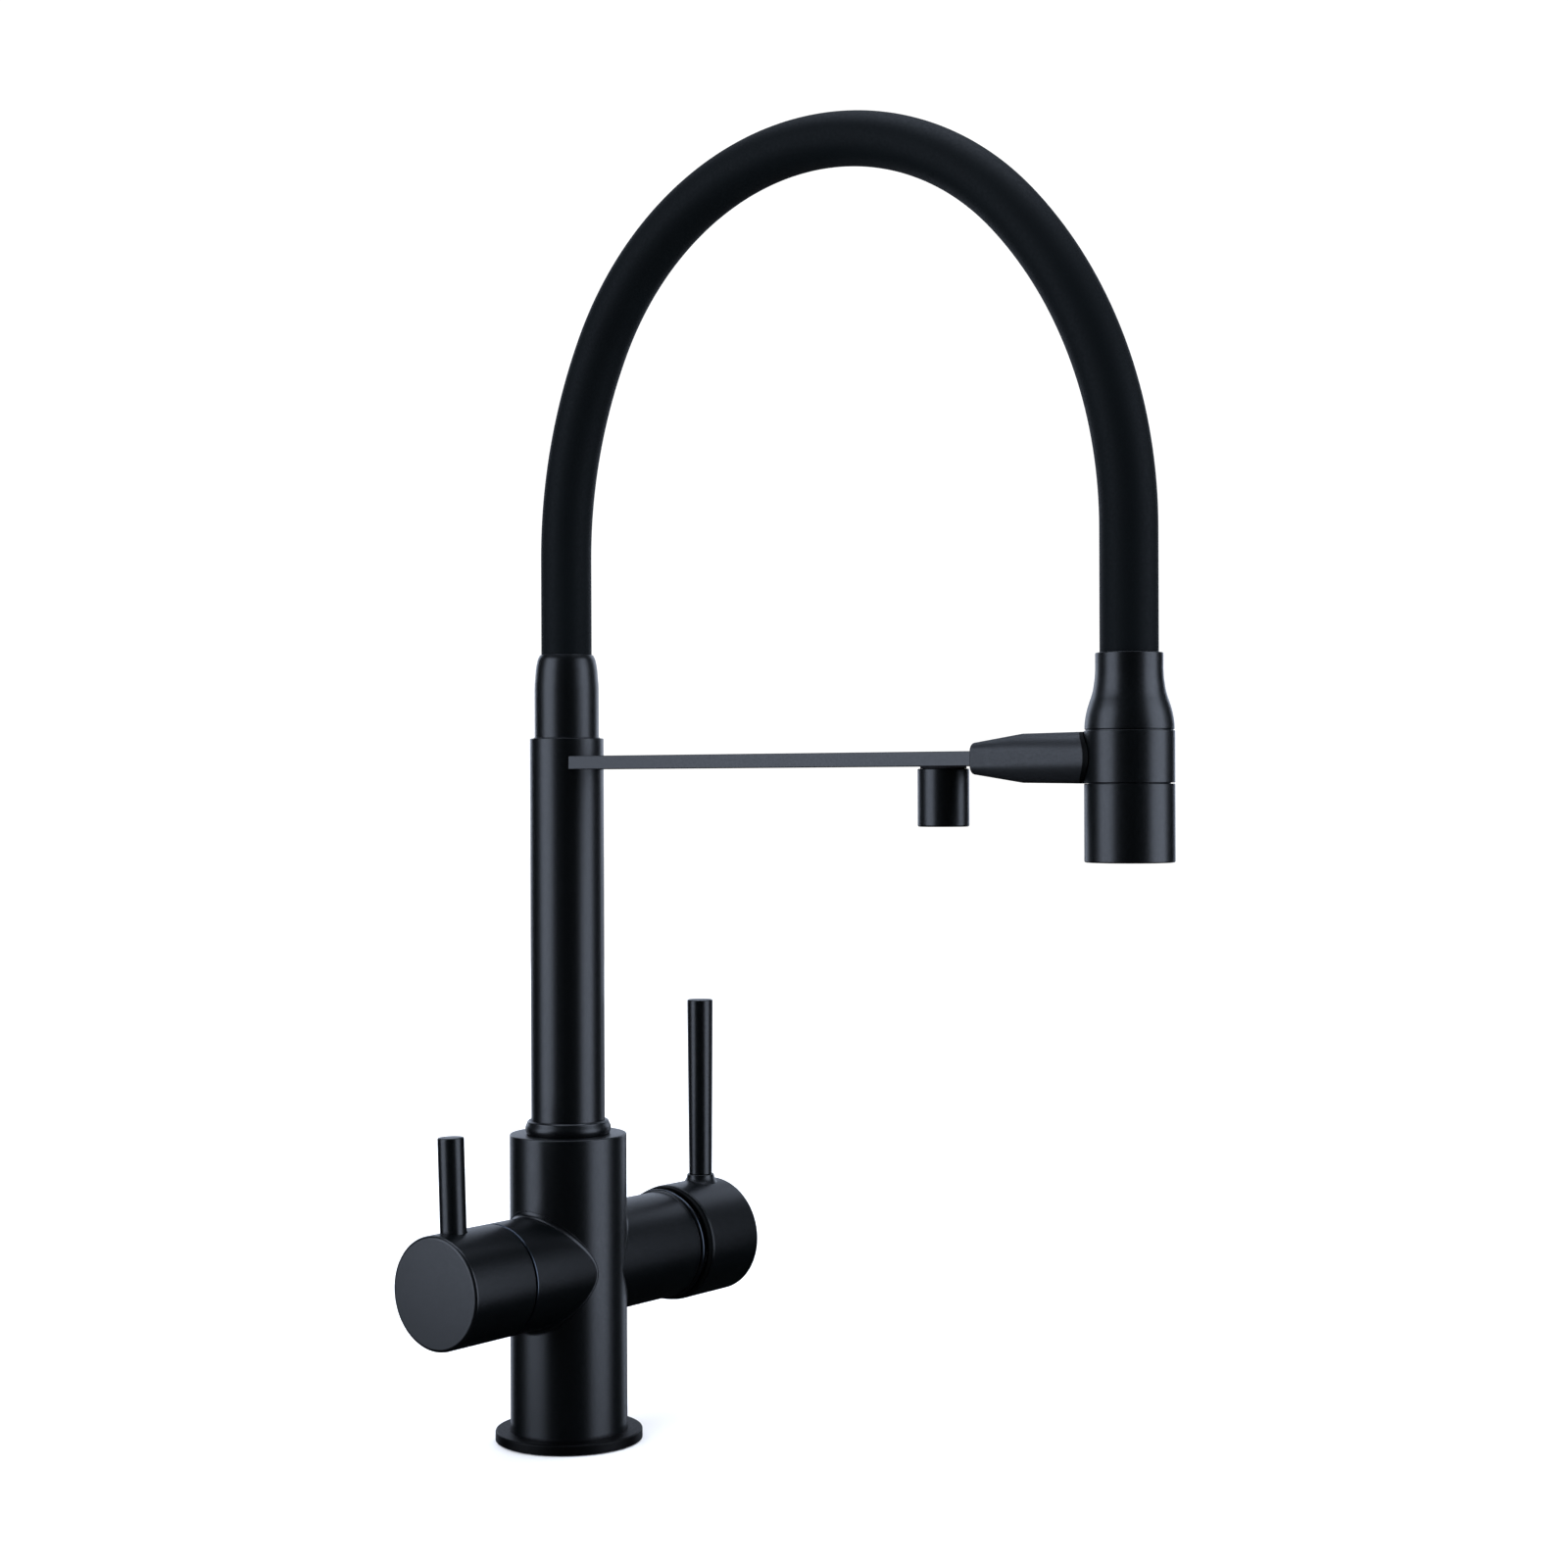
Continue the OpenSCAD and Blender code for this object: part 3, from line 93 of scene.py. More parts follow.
class Seat(Enum):
    """Where a piece that is turned about its own axis is set."""

    UPRIGHT = "upright"
    HEAD = "head"
    OUTLET = "outlet"
    MIXER_SIDE = "mixer side"
    FILTER_SIDE = "filter side"

    def matrix(self) -> Matrix:
        """The move from the lathe's axis to the piece's place, in millimetres."""
        if self is Seat.UPRIGHT:
            return Matrix.Identity(4)
        if self is Seat.HEAD:
            return Matrix.Translation((0, -REACH, 0))
        if self is Seat.OUTLET:
            return Matrix.Translation((0, -OUTLET_REACH, 0))
        side = 1 if self is Seat.MIXER_SIDE else -1
        return Matrix.Translation((0, 0, HANDLE_Z)) @ Matrix.Rotation(
            side * math.pi / 2, 4, "Y"
        )


# Materials


def linear(code: str) -> tuple[float, float, float, float]:
    """Turns an sRGB hex colour to the linear one that the shaders take.

    Args:
        code: the colour as "#rrggbb".

    Returns:
        Red, green, blue and an alpha of one.
    """
    parts = [int(code[i : i + 2], 16) / 255 for i in (1, 3, 5)]
    low = [p / 12.92 if p <= 0.04045 else ((p + 0.055) / 1.055) ** 2.4 for p in parts]
    return low[0], low[1], low[2], 1.0


def add_node(
    tree: NodeTree, kind: str, values: dict[str, Any] | None = None,
    links: dict[str, bpy.types.NodeSocket] | None = None,
) -> Node:
    """Adds a node, sets it up and wires its inputs.

    Args:
        tree: the node tree to add to.
        kind: the node's type, such as "ShaderNodeBump".
        values: settings by property name, or input values by socket name.
        links: the output that feeds each named input.

    Returns:
        The new node.
    """
    node = tree.nodes.new(kind)
    for key, value in (values or {}).items():
        if key in node.inputs:
            node.inputs[key].default_value = value
        else:
            setattr(node, key, value)
    for key, socket in (links or {}).items():
        tree.links.new(socket, node.inputs[key])
    return node


@dataclass(frozen=True)
class Finish:
    """What every finish holds: its name, its slot in the record and its base colour."""

    name: str
    slot: str
    colour: str

    def material(self) -> bpy.types.Material:
        """Gives the finish's material, and makes it the first time."""
        found = bpy.data.materials.get(self.name)
        if found:
            return found
        made = bpy.data.materials.new(self.name)
        made.use_nodes = True
        made.diffuse_color = linear(self.colour)
        shader = made.node_tree.nodes["Principled BSDF"]
        shader.inputs["Base Color"].default_value = linear(self.colour)
        self.dress(made.node_tree, shader)
        return made

    def dress(self, tree: NodeTree, shader: Node) -> None:
        """Adds what is special to a finish.

        Args:
            tree: the material's nodes.
            shader: its Principled BSDF.
        """

    def grain(self, tree: NodeTree, size_mm: float, detail: float) -> Node:
        """Adds an even grain of a real size over the piece's own coordinates.

        Args:
            tree: the material's nodes.
            size_mm: the distance from one grain to the next.
            detail: how many finer layers the grain has.

        Returns:
            The noise node.
        """
        place = add_node(tree, "ShaderNodeTexCoord")
        return add_node(
            tree, "ShaderNodeTexNoise",
            {"Scale": 1 / (size_mm * MM), "Detail": detail, "Roughness": 0.6},
            {"Vector": place.outputs["Object"]},
        )


@dataclass(frozen=True)
class Coat(Finish):
    """A powder coat or a fine moulding: a dark, even, slightly uneven satin skin."""

    rough: float = 0.4
    rough_swing: float = 0.05
    peel_mm: float = 0.9
    peel_depth_mm: float = 0.004
    cloud: str = "#14181d"
    cloud_mm: float = 14.0
    ior: float = 1.5
    shine: float = 0.5
    bloom: float = 0.0

    def dress(self, tree: NodeTree, shader: Node) -> None:
        """Gives the coat its faint cloud of colour, its swing of gloss and its peel."""
        cloud = self.grain(tree, self.cloud_mm, 3.0)
        colour = add_node(
            tree, "ShaderNodeMix", {"data_type": "RGBA"}, {"Factor": cloud.outputs["Fac"]}
        )
        colour.inputs[6].default_value = linear(self.colour)
        colour.inputs[7].default_value = linear(self.cloud)
        tree.links.new(colour.outputs[2], shader.inputs["Base Color"])
        fine = self.grain(tree, self.peel_mm, 2.0)
        gloss = add_node(
            tree,
            "ShaderNodeMapRange",
            {
                "From Min": 0.3, "From Max": 0.7, "To Min": self.rough - self.rough_swing,
                "To Max": self.rough + self.rough_swing,
            },
            {"Value": fine.outputs["Fac"]},
        )
        tree.links.new(gloss.outputs["Result"], shader.inputs["Roughness"])
        bump = add_node(
            tree, "ShaderNodeBump", {"Strength": 1.0, "Distance": self.peel_depth_mm * MM},
            {"Height": fine.outputs["Fac"]},
        )
        tree.links.new(bump.outputs["Normal"], shader.inputs["Normal"])
        shader.inputs["IOR"].default_value = self.ior
        shader.inputs["Specular IOR Level"].default_value = self.shine
        shader.inputs["Sheen Weight"].default_value = self.bloom


@dataclass(frozen=True)
class Turned(Finish):
    """Metal off a lathe: fine rings across the axis and a soft, bright sheen."""

    rough: float = 0.28
    ring_mm: float = 0.5

    def dress(self, tree: NodeTree, shader: Node) -> None:
        """Gives the metal its tool rings."""
        place = add_node(tree, "ShaderNodeTexCoord")
        squeeze = add_node(
            tree, "ShaderNodeMapping", {"Scale": (60.0, 60.0, 1 / (self.ring_mm * MM))},
            {"Vector": place.outputs["Object"]},
        )
        rings = add_node(
            tree, "ShaderNodeTexNoise", {"Scale": 1.0, "Detail": 2.0},
            {"Vector": squeeze.outputs["Vector"]},
        )
        gloss = add_node(
            tree, "ShaderNodeMapRange", {"To Min": self.rough - 0.08, "To Max": self.rough + 0.1},
            {"Value": rings.outputs["Fac"]},
        )
        tree.links.new(gloss.outputs["Result"], shader.inputs["Roughness"])
        bump = add_node(
            tree, "ShaderNodeBump", {"Strength": 1.0, "Distance": 0.002 * MM},
            {"Height": rings.outputs["Fac"]},
        )
        tree.links.new(bump.outputs["Normal"], shader.inputs["Normal"])
        shader.inputs["Metallic"].default_value = 1.0


# Powder-coated brass and zinc: a blue-black satin with a very fine peel. The real peel is
# under half a millimetre across, so it is drawn a little coarser to show at all.
POWDER = Coat("powder_coated_brass", "matte_black_metal", "#000203", 0.34, 0.04, cloud="#010406")
FLANGE = Coat(
    "powder_coated_flange", "black_flange", "#010101", 0.48, 0.04, cloud="#020203", shine=0.12
)
# Fine-etched nylon of the dock: a shade lighter than the metal and softer in its shine.
NYLON = Coat(
    "etched_black_nylon", "satin_black_plastic", "#0b0e12", 0.48, 0.06, 0.7, 0.006, "#0f1317"
)
# Moulded silicone of the hose: matte, deep, with a soft bloom.
SILICONE = Coat(
    "moulded_black_silicone", "silicone_hose", "#010508", 0.62, 0.05, 1.2, 0.006, cloud="#02080b",
    cloud_mm=20.0, ior=1.42, shine=0.13, bloom=0.01,
)
# Moulded rubber of the pad and the cover behind the lever: takes nearly all the light.
RUBBER = Coat(
    "moulded_black_rubber", "black_rubber", "#010202", 0.6, 0.05, 0.8, 0.006, cloud="#020303",
    cloud_mm=12.0, ior=1.45, shine=0.08,
)
SEAL = Coat("seal_rubber", "seal_rubber", "#08090a", 0.55, 0.05, 0.8, 0.004, "#0c0d0f")
ACETAL = Coat("moulded_white_acetal", "pale_plastic", "#dedbd2", 0.4, 0.04, 1.5, 0.003, "#e8e5dd")
GREY_ACETAL = Coat(
    "moulded_grey_acetal", "grey_plastic", "#7d8186", 0.42, 0.04, 1.5, 0.003, "#8b8f94"
)
CERAMIC = Coat("lapped_alumina", "ceramic_disc", "#e9e7df", 0.12, 0.03, 2.0, 0.0005, "#f1efe8")
# A painted highlight for the edge of a coated end face: a thin grey metal ring that shows as a
# bright line there.
EDGE = Turned("painted_highlight_edge", "matte_black_metal", "#464c54", 0.3, 1.2)
BRASS = Turned("turned_brass", "brass", "#c9a35a", 0.3)
STEEL = Turned("turned_stainless_steel", "steel", "#b9bcc0", 0.25)
NICKEL = Turned("nickel_plated_magnet", "magnet", "#b4b3ae", 0.18, 1.5)
FINISHES: tuple[Finish, ...] = (
    POWDER, FLANGE, NYLON, SILICONE, RUBBER, SEAL, ACETAL, GREY_ACETAL, CERAMIC, BRASS, STEEL,
    NICKEL,
)


# Mesh work


def bevel(
    part: BMesh, geom: list, offset: float, segments: int, affect: str = "EDGES"
) -> None:
    """Rounds edges or corners of a mesh.

    Args:
        part: the mesh.
        geom: the edges or vertices to round.
        offset: the distance to round them by.
        segments: how many flats the rounding has.
        affect: "EDGES" or "VERTICES".
    """
    bmesh.ops.bevel(
        part, geom=geom, offset=offset, offset_type="OFFSET", segments=segments, profile=0.5,
        affect=affect, material=-1,
    )


def pour(part: BMesh, into: BMesh) -> None:
    """Adds one mesh to another, and uses it up.

    Args:
        part: the mesh to add.
        into: the mesh that takes it.
    """
    holder = bpy.data.meshes.new("holder")
    part.to_mesh(holder)
    part.free()
    into.from_mesh(holder)
    bpy.data.meshes.remove(holder)


@dataclass(frozen=True)
class Corner:
    """A corner of a turned profile: radius, height, and how far its edge is rounded."""

    r: float
    z: float
    round: float = 0.0


@dataclass
class Stock:
    """A piece in work: its mesh, in millimetres, until it is finished."""

    name: str
    work: BMesh = field(default_factory=bmesh.new)

    def turn(
        self, corners: Sequence[tuple[float, ...]], seat: Matrix, hollow: bool = True,
        steps: int = 168,
    ) -> "Stock":
        """Spins a profile about its axis, rounds its edges and sets it in place.

        Args:
            corners: the profile, counter-clockwise from the inside, each as Corner holds it.
            seat: the move to the piece's place.
            hollow: whether the profile closes on itself, as a tube's does.
            steps: how many flats the round has.

        Returns:
            This piece.
        """
        part = bmesh.new()
        profile = [Corner(*corner) for corner in corners]
        points = [part.verts.new((c.r, 0, c.z)) for c in profile]
        ends = points[1:] + points[:1] if hollow else points[1:]
        for first, second in zip(points, ends):
            part.edges.new((first, second))
        bmesh.ops.spin(
            part, geom=part.verts[:] + part.edges[:], cent=(0, 0, 0), axis=(0, 0, 1),
            dvec=(0, 0, 0), angle=math.tau, steps=steps, use_merge=True,
        )
        bmesh.ops.remove_doubles(part, verts=part.verts[:], dist=1e-4)
        bmesh.ops.recalc_face_normals(part, faces=part.faces[:])
        for corner in profile:
            if corner.round > 0:
                self.round_ring(part, corner)
        return self.take(part, seat)

    def round_ring(self, part: BMesh, corner: Corner) -> None:
        """Rounds the ring that a corner of the profile has drawn.

        Args:
            part: the turned mesh, still on the lathe's axis.
            corner: the corner, with the distance to round it by.
        """
        near = {
            v
            for v in part.verts
            if abs(math.hypot(v.co.x, v.co.y) - corner.r) < 1e-3
            and abs(v.co.z - corner.z) < 1e-3
        }
        ring = [e for e in part.edges if e.verts[0] in near and e.verts[1] in near]
        bevel(part, ring, corner.round, 4)

    def take(self, part: BMesh, seat: Matrix) -> "Stock":
        """Sets a mesh in place and adds it to this piece.

        Args:
            part: the mesh to add; it is used up.
            seat: the move to its place.

        Returns:
            This piece.
        """
        bmesh.ops.transform(part, matrix=seat, verts=part.verts[:])
        pour(part, self.work)
        return self

    def block(
        self, low: tuple[float, float, float], high: tuple[float, float, float], edge: float = 0.0
    ) -> "Stock":
        """Adds a box between two corners, with its edges rounded.

        Args:
            low: the lowest corner.
            high: the highest corner.
            edge: the distance to round the edges by.

        Returns:
            This piece.
        """
        part = bmesh.new()
        bmesh.ops.create_cube(part, size=1.0)
        size = Vector(high) - Vector(low)
        bmesh.ops.scale(part, vec=size, verts=part.verts[:])
        if edge > 0:
            bevel(part, part.edges[:], edge, 3)
        return self.take(part, Matrix.Translation((Vector(high) + Vector(low)) / 2))

    def rod(
        self, seat: Matrix, radius: float, start: float, end: float, steps: int = 96
    ) -> "Stock":
        """Adds a plain rod along a seat's axis, mostly to cut with.

        Args:
            seat: the move to the rod's place.
            radius: its radius.
            start: where it begins along the axis.
            end: where it ends.
            steps: how many flats the round has.

        Returns:
            This piece.
        """
        part = bmesh.new()
        bmesh.ops.create_cone(
            part, cap_ends=True, segments=steps, radius1=radius, radius2=radius, depth=end - start
        )
        return self.take(part, seat @ Matrix.Translation((0, 0, (start + end) / 2)))

    def combine(self, other: "Stock", how: Combine) -> "Stock":
        """Joins, cuts or keeps this piece with another, which is used up.

        Args:
            other: the other piece.
            how: what the other does to this one.

        Returns:
            This piece.
        """
        pair = []
        for stock in (self, other):
            mesh = bpy.data.meshes.new("solid")
            stock.work.to_mesh(mesh)
            pair.append(bpy.data.objects.new("solid", mesh))
            bpy.context.collection.objects.link(pair[-1])
        boolean = pair[0].modifiers.new("combine", "BOOLEAN")
        boolean.operation = how.value
        boolean.solver = "EXACT"
        boolean.object = pair[1]
        graph = bpy.context.evaluated_depsgraph_get()
        result = bpy.data.meshes.new_from_object(pair[0].evaluated_get(graph))
        self.work.free()
        other.work.free()
        self.work = bmesh.new()
        self.work.from_mesh(result)
        bmesh.ops.remove_doubles(self.work, verts=self.work.verts[:], dist=1e-3)
        for solid in pair:
            mesh = solid.data
            bpy.data.objects.remove(solid)
            bpy.data.meshes.remove(mesh)
        bpy.data.meshes.remove(result)
        return self

    def finish(
        self, body: Body | None, finish: Finish, replaces: Sequence[str] = (),
        sharp_deg: float = 32.0, weighted: bool = True,
    ) -> bpy.types.Object:
        """Turns the work into a finished piece that rides on its body.

        Args:
            body: the body that carries the piece, or None for one that rides on no body.
            finish: its finish.
            replaces: the CAD nodes that it stands for.
            sharp_deg: the angle past which an edge stays sharp.
            weighted: whether large faces rule the shading.

        Returns:
            The piece.
        """
        bmesh.ops.scale(self.work, vec=(MM, MM, MM), verts=self.work.verts[:])
        mesh = bpy.data.meshes.new(self.name)
        self.work.to_mesh(mesh)
        self.work.free()
        mesh.shade_smooth()
        mesh.set_sharp_from_angle(angle=math.radians(sharp_deg))
        piece = bpy.data.objects.new(self.name, mesh)
        bpy.context.collection.objects.link(piece)
        if weighted:
            shade = piece.modifiers.new("even shading", "WEIGHTED_NORMAL")
            shade.keep_sharp = True
            shade.mode = "FACE_AREA_WITH_ANGLE"
            graph = bpy.context.evaluated_depsgraph_get()
            baked = bpy.data.meshes.new_from_object(
                piece.evaluated_get(graph), preserve_all_data_layers=True, depsgraph=graph
            )
            piece.modifiers.clear()
            piece.data = baked
            baked.name = self.name
        piece.data.materials.clear()
        piece.data.materials.append(finish.material())
        if body:
            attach(piece, body.value)
        if replaces:
            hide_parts(*replaces)
        LOG.info("%s: %d faces", self.name, len(piece.data.polygons))
        return piece


def turn_rod(
    name: str, seat: Matrix, foot: tuple[float, float, float], top: tuple[float, float, float]
) -> Stock:
    """Turns a lever's rod, with the peg under it that goes into the cap.

    Args:
        name: the piece's name.
        seat: the move to the rod's place.
        foot: the edge of its foot: radius, height and rounding.
        top: the edge of its top, in the same way.

    Returns:
        The rod.
    """
    peg_r, peg_low = 3.9, foot[1] - 6.5
    profile = [(0, peg_low), (peg_r, peg_low), (peg_r, foot[1]), foot, top, (0, top[1])]
    return Stock(name).turn(profile, seat, False, 96)


# The tap


@dataclass
class BaseAndBody:
    """The flange on the worktop and the body with its two side stubs."""

    flange_r: float = 27.99
    flange_h: float = 3.8
    body_r: float = 22.25
    body_low: float = 3.0
    body_top: float = 116.2
    mixer_r: float = 20.8
    lip_r: float = 21.8
    mixer_face: float = 56.0
    filter_r: float = 21.0
    filter_face: float = 40.2
    fillet_r: float = 2.0
    bead_r: float = 0.14
    rim_w: float = 0.65
    sunk: float = 0.4

    def flange(self) -> None:
        """Turns the base flange, with the groove that holds its gasket."""
        hole, inner, outer, deep = 17.5, 21.45, 23.95, 1.65
        seat = self.body_r + 0.05
        profile = [
            (hole, 0), (inner, 0), (inner, deep), (outer, deep), (outer, 0),
            (self.flange_r, 0, 0.15), (self.flange_r, self.flange_h, 0.7),
            (seat, self.flange_h, 0.1), (seat, self.body_low), (hole, self.body_low),
        ]
        flange = Stock("base_flange_coated").turn(profile, Seat.UPRIGHT.matrix(), steps=216)
        flange.finish(Body.TAP, FLANGE, ("base_flange",))

    def bores(self) -> Stock:
        """Gathers everything that is bored out of the body."""
        up, mixer, filtered = (
            seat.matrix() for seat in (Seat.UPRIGHT, Seat.MIXER_SIDE, Seat.FILTER_SIDE)
        )
        back = Matrix.Translation((0, 0, 106.6)) @ Matrix.Rotation(-math.pi / 2, 4, "X")
        cuts = Stock("retainer's thread").rod(mixer, 18.85, 44.0, 58.0, 128)
        for name, seat, radius, start, end, steps in (
            ("cartridge's seat", mixer, 17.55, 20.0, 45.0, 128),
            ("headwork's seat", filtered, 10.25, 17.0, 35.0, 96),
            ("headwork's recess", filtered, 16.5, 33.9, 42.0, 128),
            ("spigot's bore", up, 11.98, 84.0, 112.0, 112),
            ("bush's seat", up, 14.18, 110.95, 118.0, 112),
            ("inlet plate's recess", up, 17.05, 2.0, 17.0, 128),
            ("lock screw's hole", back, 2.5, 8.0, 24.0, 48),
        ):
            cuts.combine(Stock(name).rod(seat, radius, start, end, steps), Combine.JOIN)
        return cuts

    def body(self) -> None:
        """Turns the barrel and its stubs, joins them and bores them out."""
        barrel = [
            (0, self.body_low), (self.body_r, self.body_low, 0.2),
            (self.body_r, self.body_top, 0.55), (0, self.body_top),
        ]
        mixer = [
            (0, 6), (self.mixer_r, 6), (self.mixer_r, self.mixer_face - 2.2, 0.3),
            (self.mixer_r - 0.25, self.mixer_face - 1.5, 0.2),
            (self.lip_r, self.mixer_face - 1.2, self.rim_w - 0.1),
            (self.lip_r, self.mixer_face, 0.4), (0, self.mixer_face),
        ]
        filtered = [
            (0, 6), (self.filter_r, 6), (self.filter_r, self.filter_face, 0.6),
            (0, self.filter_face),
        ]
        body = Stock("body_coated").turn(barrel, Seat.UPRIGHT.matrix(), False, 216)
        body.combine(Stock("stub").turn(mixer, Seat.MIXER_SIDE.matrix(), False, 192), Combine.JOIN)
        body.combine(
            Stock("stub").turn(filtered, Seat.FILTER_SIDE.matrix(), False, 192), Combine.JOIN
        )
        body.combine(self.bores(), Combine.CUT)
        replaced = ("tap_body", "mixer_stub", "filter_stub")
        piece = body.finish(Body.TAP, POWDER, replaced, weighted=False)
        self.true_rounds(piece.data)

    def true_rounds(self, mesh: bpy.types.Mesh) -> None:
        """Gives the three outer cylinders their exact normals, which cut faces would bend.

        Args:
            mesh: the finished body.
        """
        axes = (
            (Vector((0, 0, 0)), Vector((0, 0, 1)), self.body_r),
            (Vector((0, 0, HANDLE_Z)), Vector((1, 0, 0)), self.mixer_r),
            (Vector((0, 0, HANDLE_Z)), Vector((-1, 0, 0)), self.filter_r),
        )
        normals = [Vector(c.vector) for c in mesh.corner_normals]
        for face in mesh.polygons:
            corners = [mesh.vertices[v].co / MM for v in face.vertices]
            for centre, axis, radius in axes:
                out = [p - centre - axis * (p - centre).dot(axis) for p in corners]
                if axis.x and any(p.x * axis.x < 0 for p in corners):
                    continue
                if all(abs(o.length - radius) < 0.02 for o in out):
                    for loop, direction in zip(face.loop_indices, out):
                        normals[loop] = direction.normalized()
                    break
        mesh.normals_split_custom_set([tuple(n) for n in normals])

    def saddle(self, stub_r: float, side: int, turn: float) -> list[Vector]:
        """Draws the section of a fillet where a ball would roll between a stub and the barrel.

        Args:
            stub_r: the stub's radius.
            side: 1 on the mixer's side, -1 on the filter's.
            turn: the place round the stub, in radians.

        Returns:
            The section's points, from the corner over the hollow and the bead at its edge.
        """
        ball, across, up = self.fillet_r, math.cos(turn), math.sin(turn)
        y = (stub_r + ball) * across
        x = side * math.sqrt((self.body_r + ball) ** 2 - y**2)
        centre = Vector((x, y, HANDLE_Z + (stub_r + ball) * up))
        to_stub = Vector((0, -across, -up))
        to_body = Vector((-x, -y, 0)).normalized()
        hollow = [to_stub.slerp(to_body, step / 12) * ball + centre for step in range(13)]
        along = (to_body * to_stub.dot(to_body) - to_stub).normalized()
        bead = [
            hollow[-1]
            + along * self.bead_r * (1 - math.cos(a))
            - to_body * self.bead_r * (math.sin(a) - 0.05)
            for a in (math.pi * step / 8 for step in range(1, 9))
        ]
        inner = (stub_r - self.sunk) * across
        depth = math.sqrt((self.body_r - self.sunk) ** 2 - inner**2)
        corner = Vector((side * depth, inner, HANDLE_Z + (stub_r - self.sunk) * up))
        return [corner, *hollow, *bead]

    def fillets(self) -> None:
        """Fills the corner between each stub and the barrel."""
        for name, stub_r, side in (
            ("mixer_stub_fillet", self.mixer_r, 1), ("filter_stub_fillet", self.filter_r, -1)
        ):
            part = bmesh.new()
            loops = []
            for place in range(len(self.saddle(stub_r, side, 0.0))):
                ring = bmesh.ops.create_circle(part, radius=1.0, segments=256)["verts"]
                for vert in ring:
                    vert.co = self.saddle(stub_r, side, math.atan2(vert.co.y, vert.co.x))[place]
                loops.append(list({e for v in ring for e in v.link_edges}))
            for first, second in zip(loops, loops[1:] + loops[:1]):
                bmesh.ops.bridge_loops(part, edges=first + second)
            bmesh.ops.recalc_face_normals(part, faces=part.faces[:])
            fillet = Stock(name).take(part, Matrix.Identity(4))
            fillet.finish(Body.TAP, POWDER, weighted=False)

    def rims(self) -> None:
        """Turns thin rings with a painted highlight: the lip's shoulder and the filter stub's end.
        """
        for name, radius, edge, inward, seat in (
            ("mixer_lip_highlight_ring", self.lip_r, self.mixer_face - 1.2, self.rim_w, Seat.MIXER_SIDE),
            ("filter_stub_highlight_ring", self.filter_r, self.filter_face, -self.rim_w, Seat.FILTER_SIDE),
        ):
            proud = -math.copysign(0.015, inward)
            profile = [
                (radius - self.rim_w, edge + inward), (radius + 0.015, edge + inward),
                (radius + 0.015, edge + proud, self.rim_w - 0.1),
                (radius - self.rim_w, edge + proud),
            ]
            # EDGE paints a bright highlight line on each ring.
            Stock(name).turn(profile, seat.matrix(), steps=192).finish(Body.TAP, EDGE)

    def build(self) -> None:
        """Makes the flange, the body, its fillets and its rims."""
        self.flange()
        self.body()
        self.fillets()
        self.rims()


@dataclass
class Column:
    """The swivelling column: bead ring, tube and the ferrule that the hose leaves."""

    ring_low: float = 116.35
    ring_top: float = 121.4
    column_r: float = 14.0
    bore_r: float = 12.5
    tube_low: float = 118.1
    ferrule_r: float = 12.2
    ferrule_top: float = 298.6

    def bead_ring(self) -> None:
        """Turns the polished bead between body and column."""
        low, top, bore, seat = self.ring_low, self.ring_top, 13.45, 14.06
        profile = [
            (bore, low), (15.8, low, 0.1), (16.3, low + 1.4, 0.5), (16.3, low + 2.6, 0.5),
            (15.55, low + 4.2, 0.15), (15.55, low + 4.5, 0.1), (15.0, top, 0.15), (seat, top),
            (seat, self.tube_low), (bore, self.tube_low),
        ]
        ring = Stock("bead_ring_coated").turn(profile, Seat.UPRIGHT.matrix())
        ring.finish(Body.SPOUT, POWDER, ("bead_ring",))

    def tube(self) -> None:
        """Turns the column's tube and cuts the slot that the arm enters by."""
        profile = [
            (self.bore_r, self.tube_low), (self.column_r, self.tube_low),
            (self.column_r, COLUMN_TOP, 0.35), (self.bore_r, COLUMN_TOP),
        ]
        tube = Stock("column_coated").turn(profile, Seat.UPRIGHT.matrix())
        slot = Stock("slot").block((-6.55, -20, 254.95), (6.55, -9, 260.05))
        tube.combine(slot, Combine.CUT)
        tube.finish(Body.SPOUT, POWDER, ("column",))

    def ferrule(self) -> None:
        """Turns the ferrule, which closes in on the hose at its top."""
        low, r, top = COLUMN_TOP + 0.05, self.ferrule_r, self.ferrule_top
        foot_r, foot_top, bore, mouth, floor = r + 0.45, low + 0.3, 6.05, 9.65, low + 1.2
        profile = [
            (bore, low), (foot_r, low, 0.1), (foot_r, foot_top, 0.1), (r, foot_top, 0.05),
            (r, top - 12.0, 1.5), (r - 0.6, top - 4.5, 1.5), (r - 1.3, top - 1.5, 0.6),
            (r - 2.1, top, 0.2), (mouth, top, 0.1), (mouth, floor), (bore, floor),
        ]
        ferrule = Stock("hose_ferrule_coated").turn(profile, Seat.UPRIGHT.matrix())
        ferrule.finish(Body.SPOUT, POWDER, ("hose_ferrule",))

    def build(self) -> None:
        """Makes the ring, the tube and the ferrule."""
        self.bead_ring()
        self.tube()
        self.ferrule()


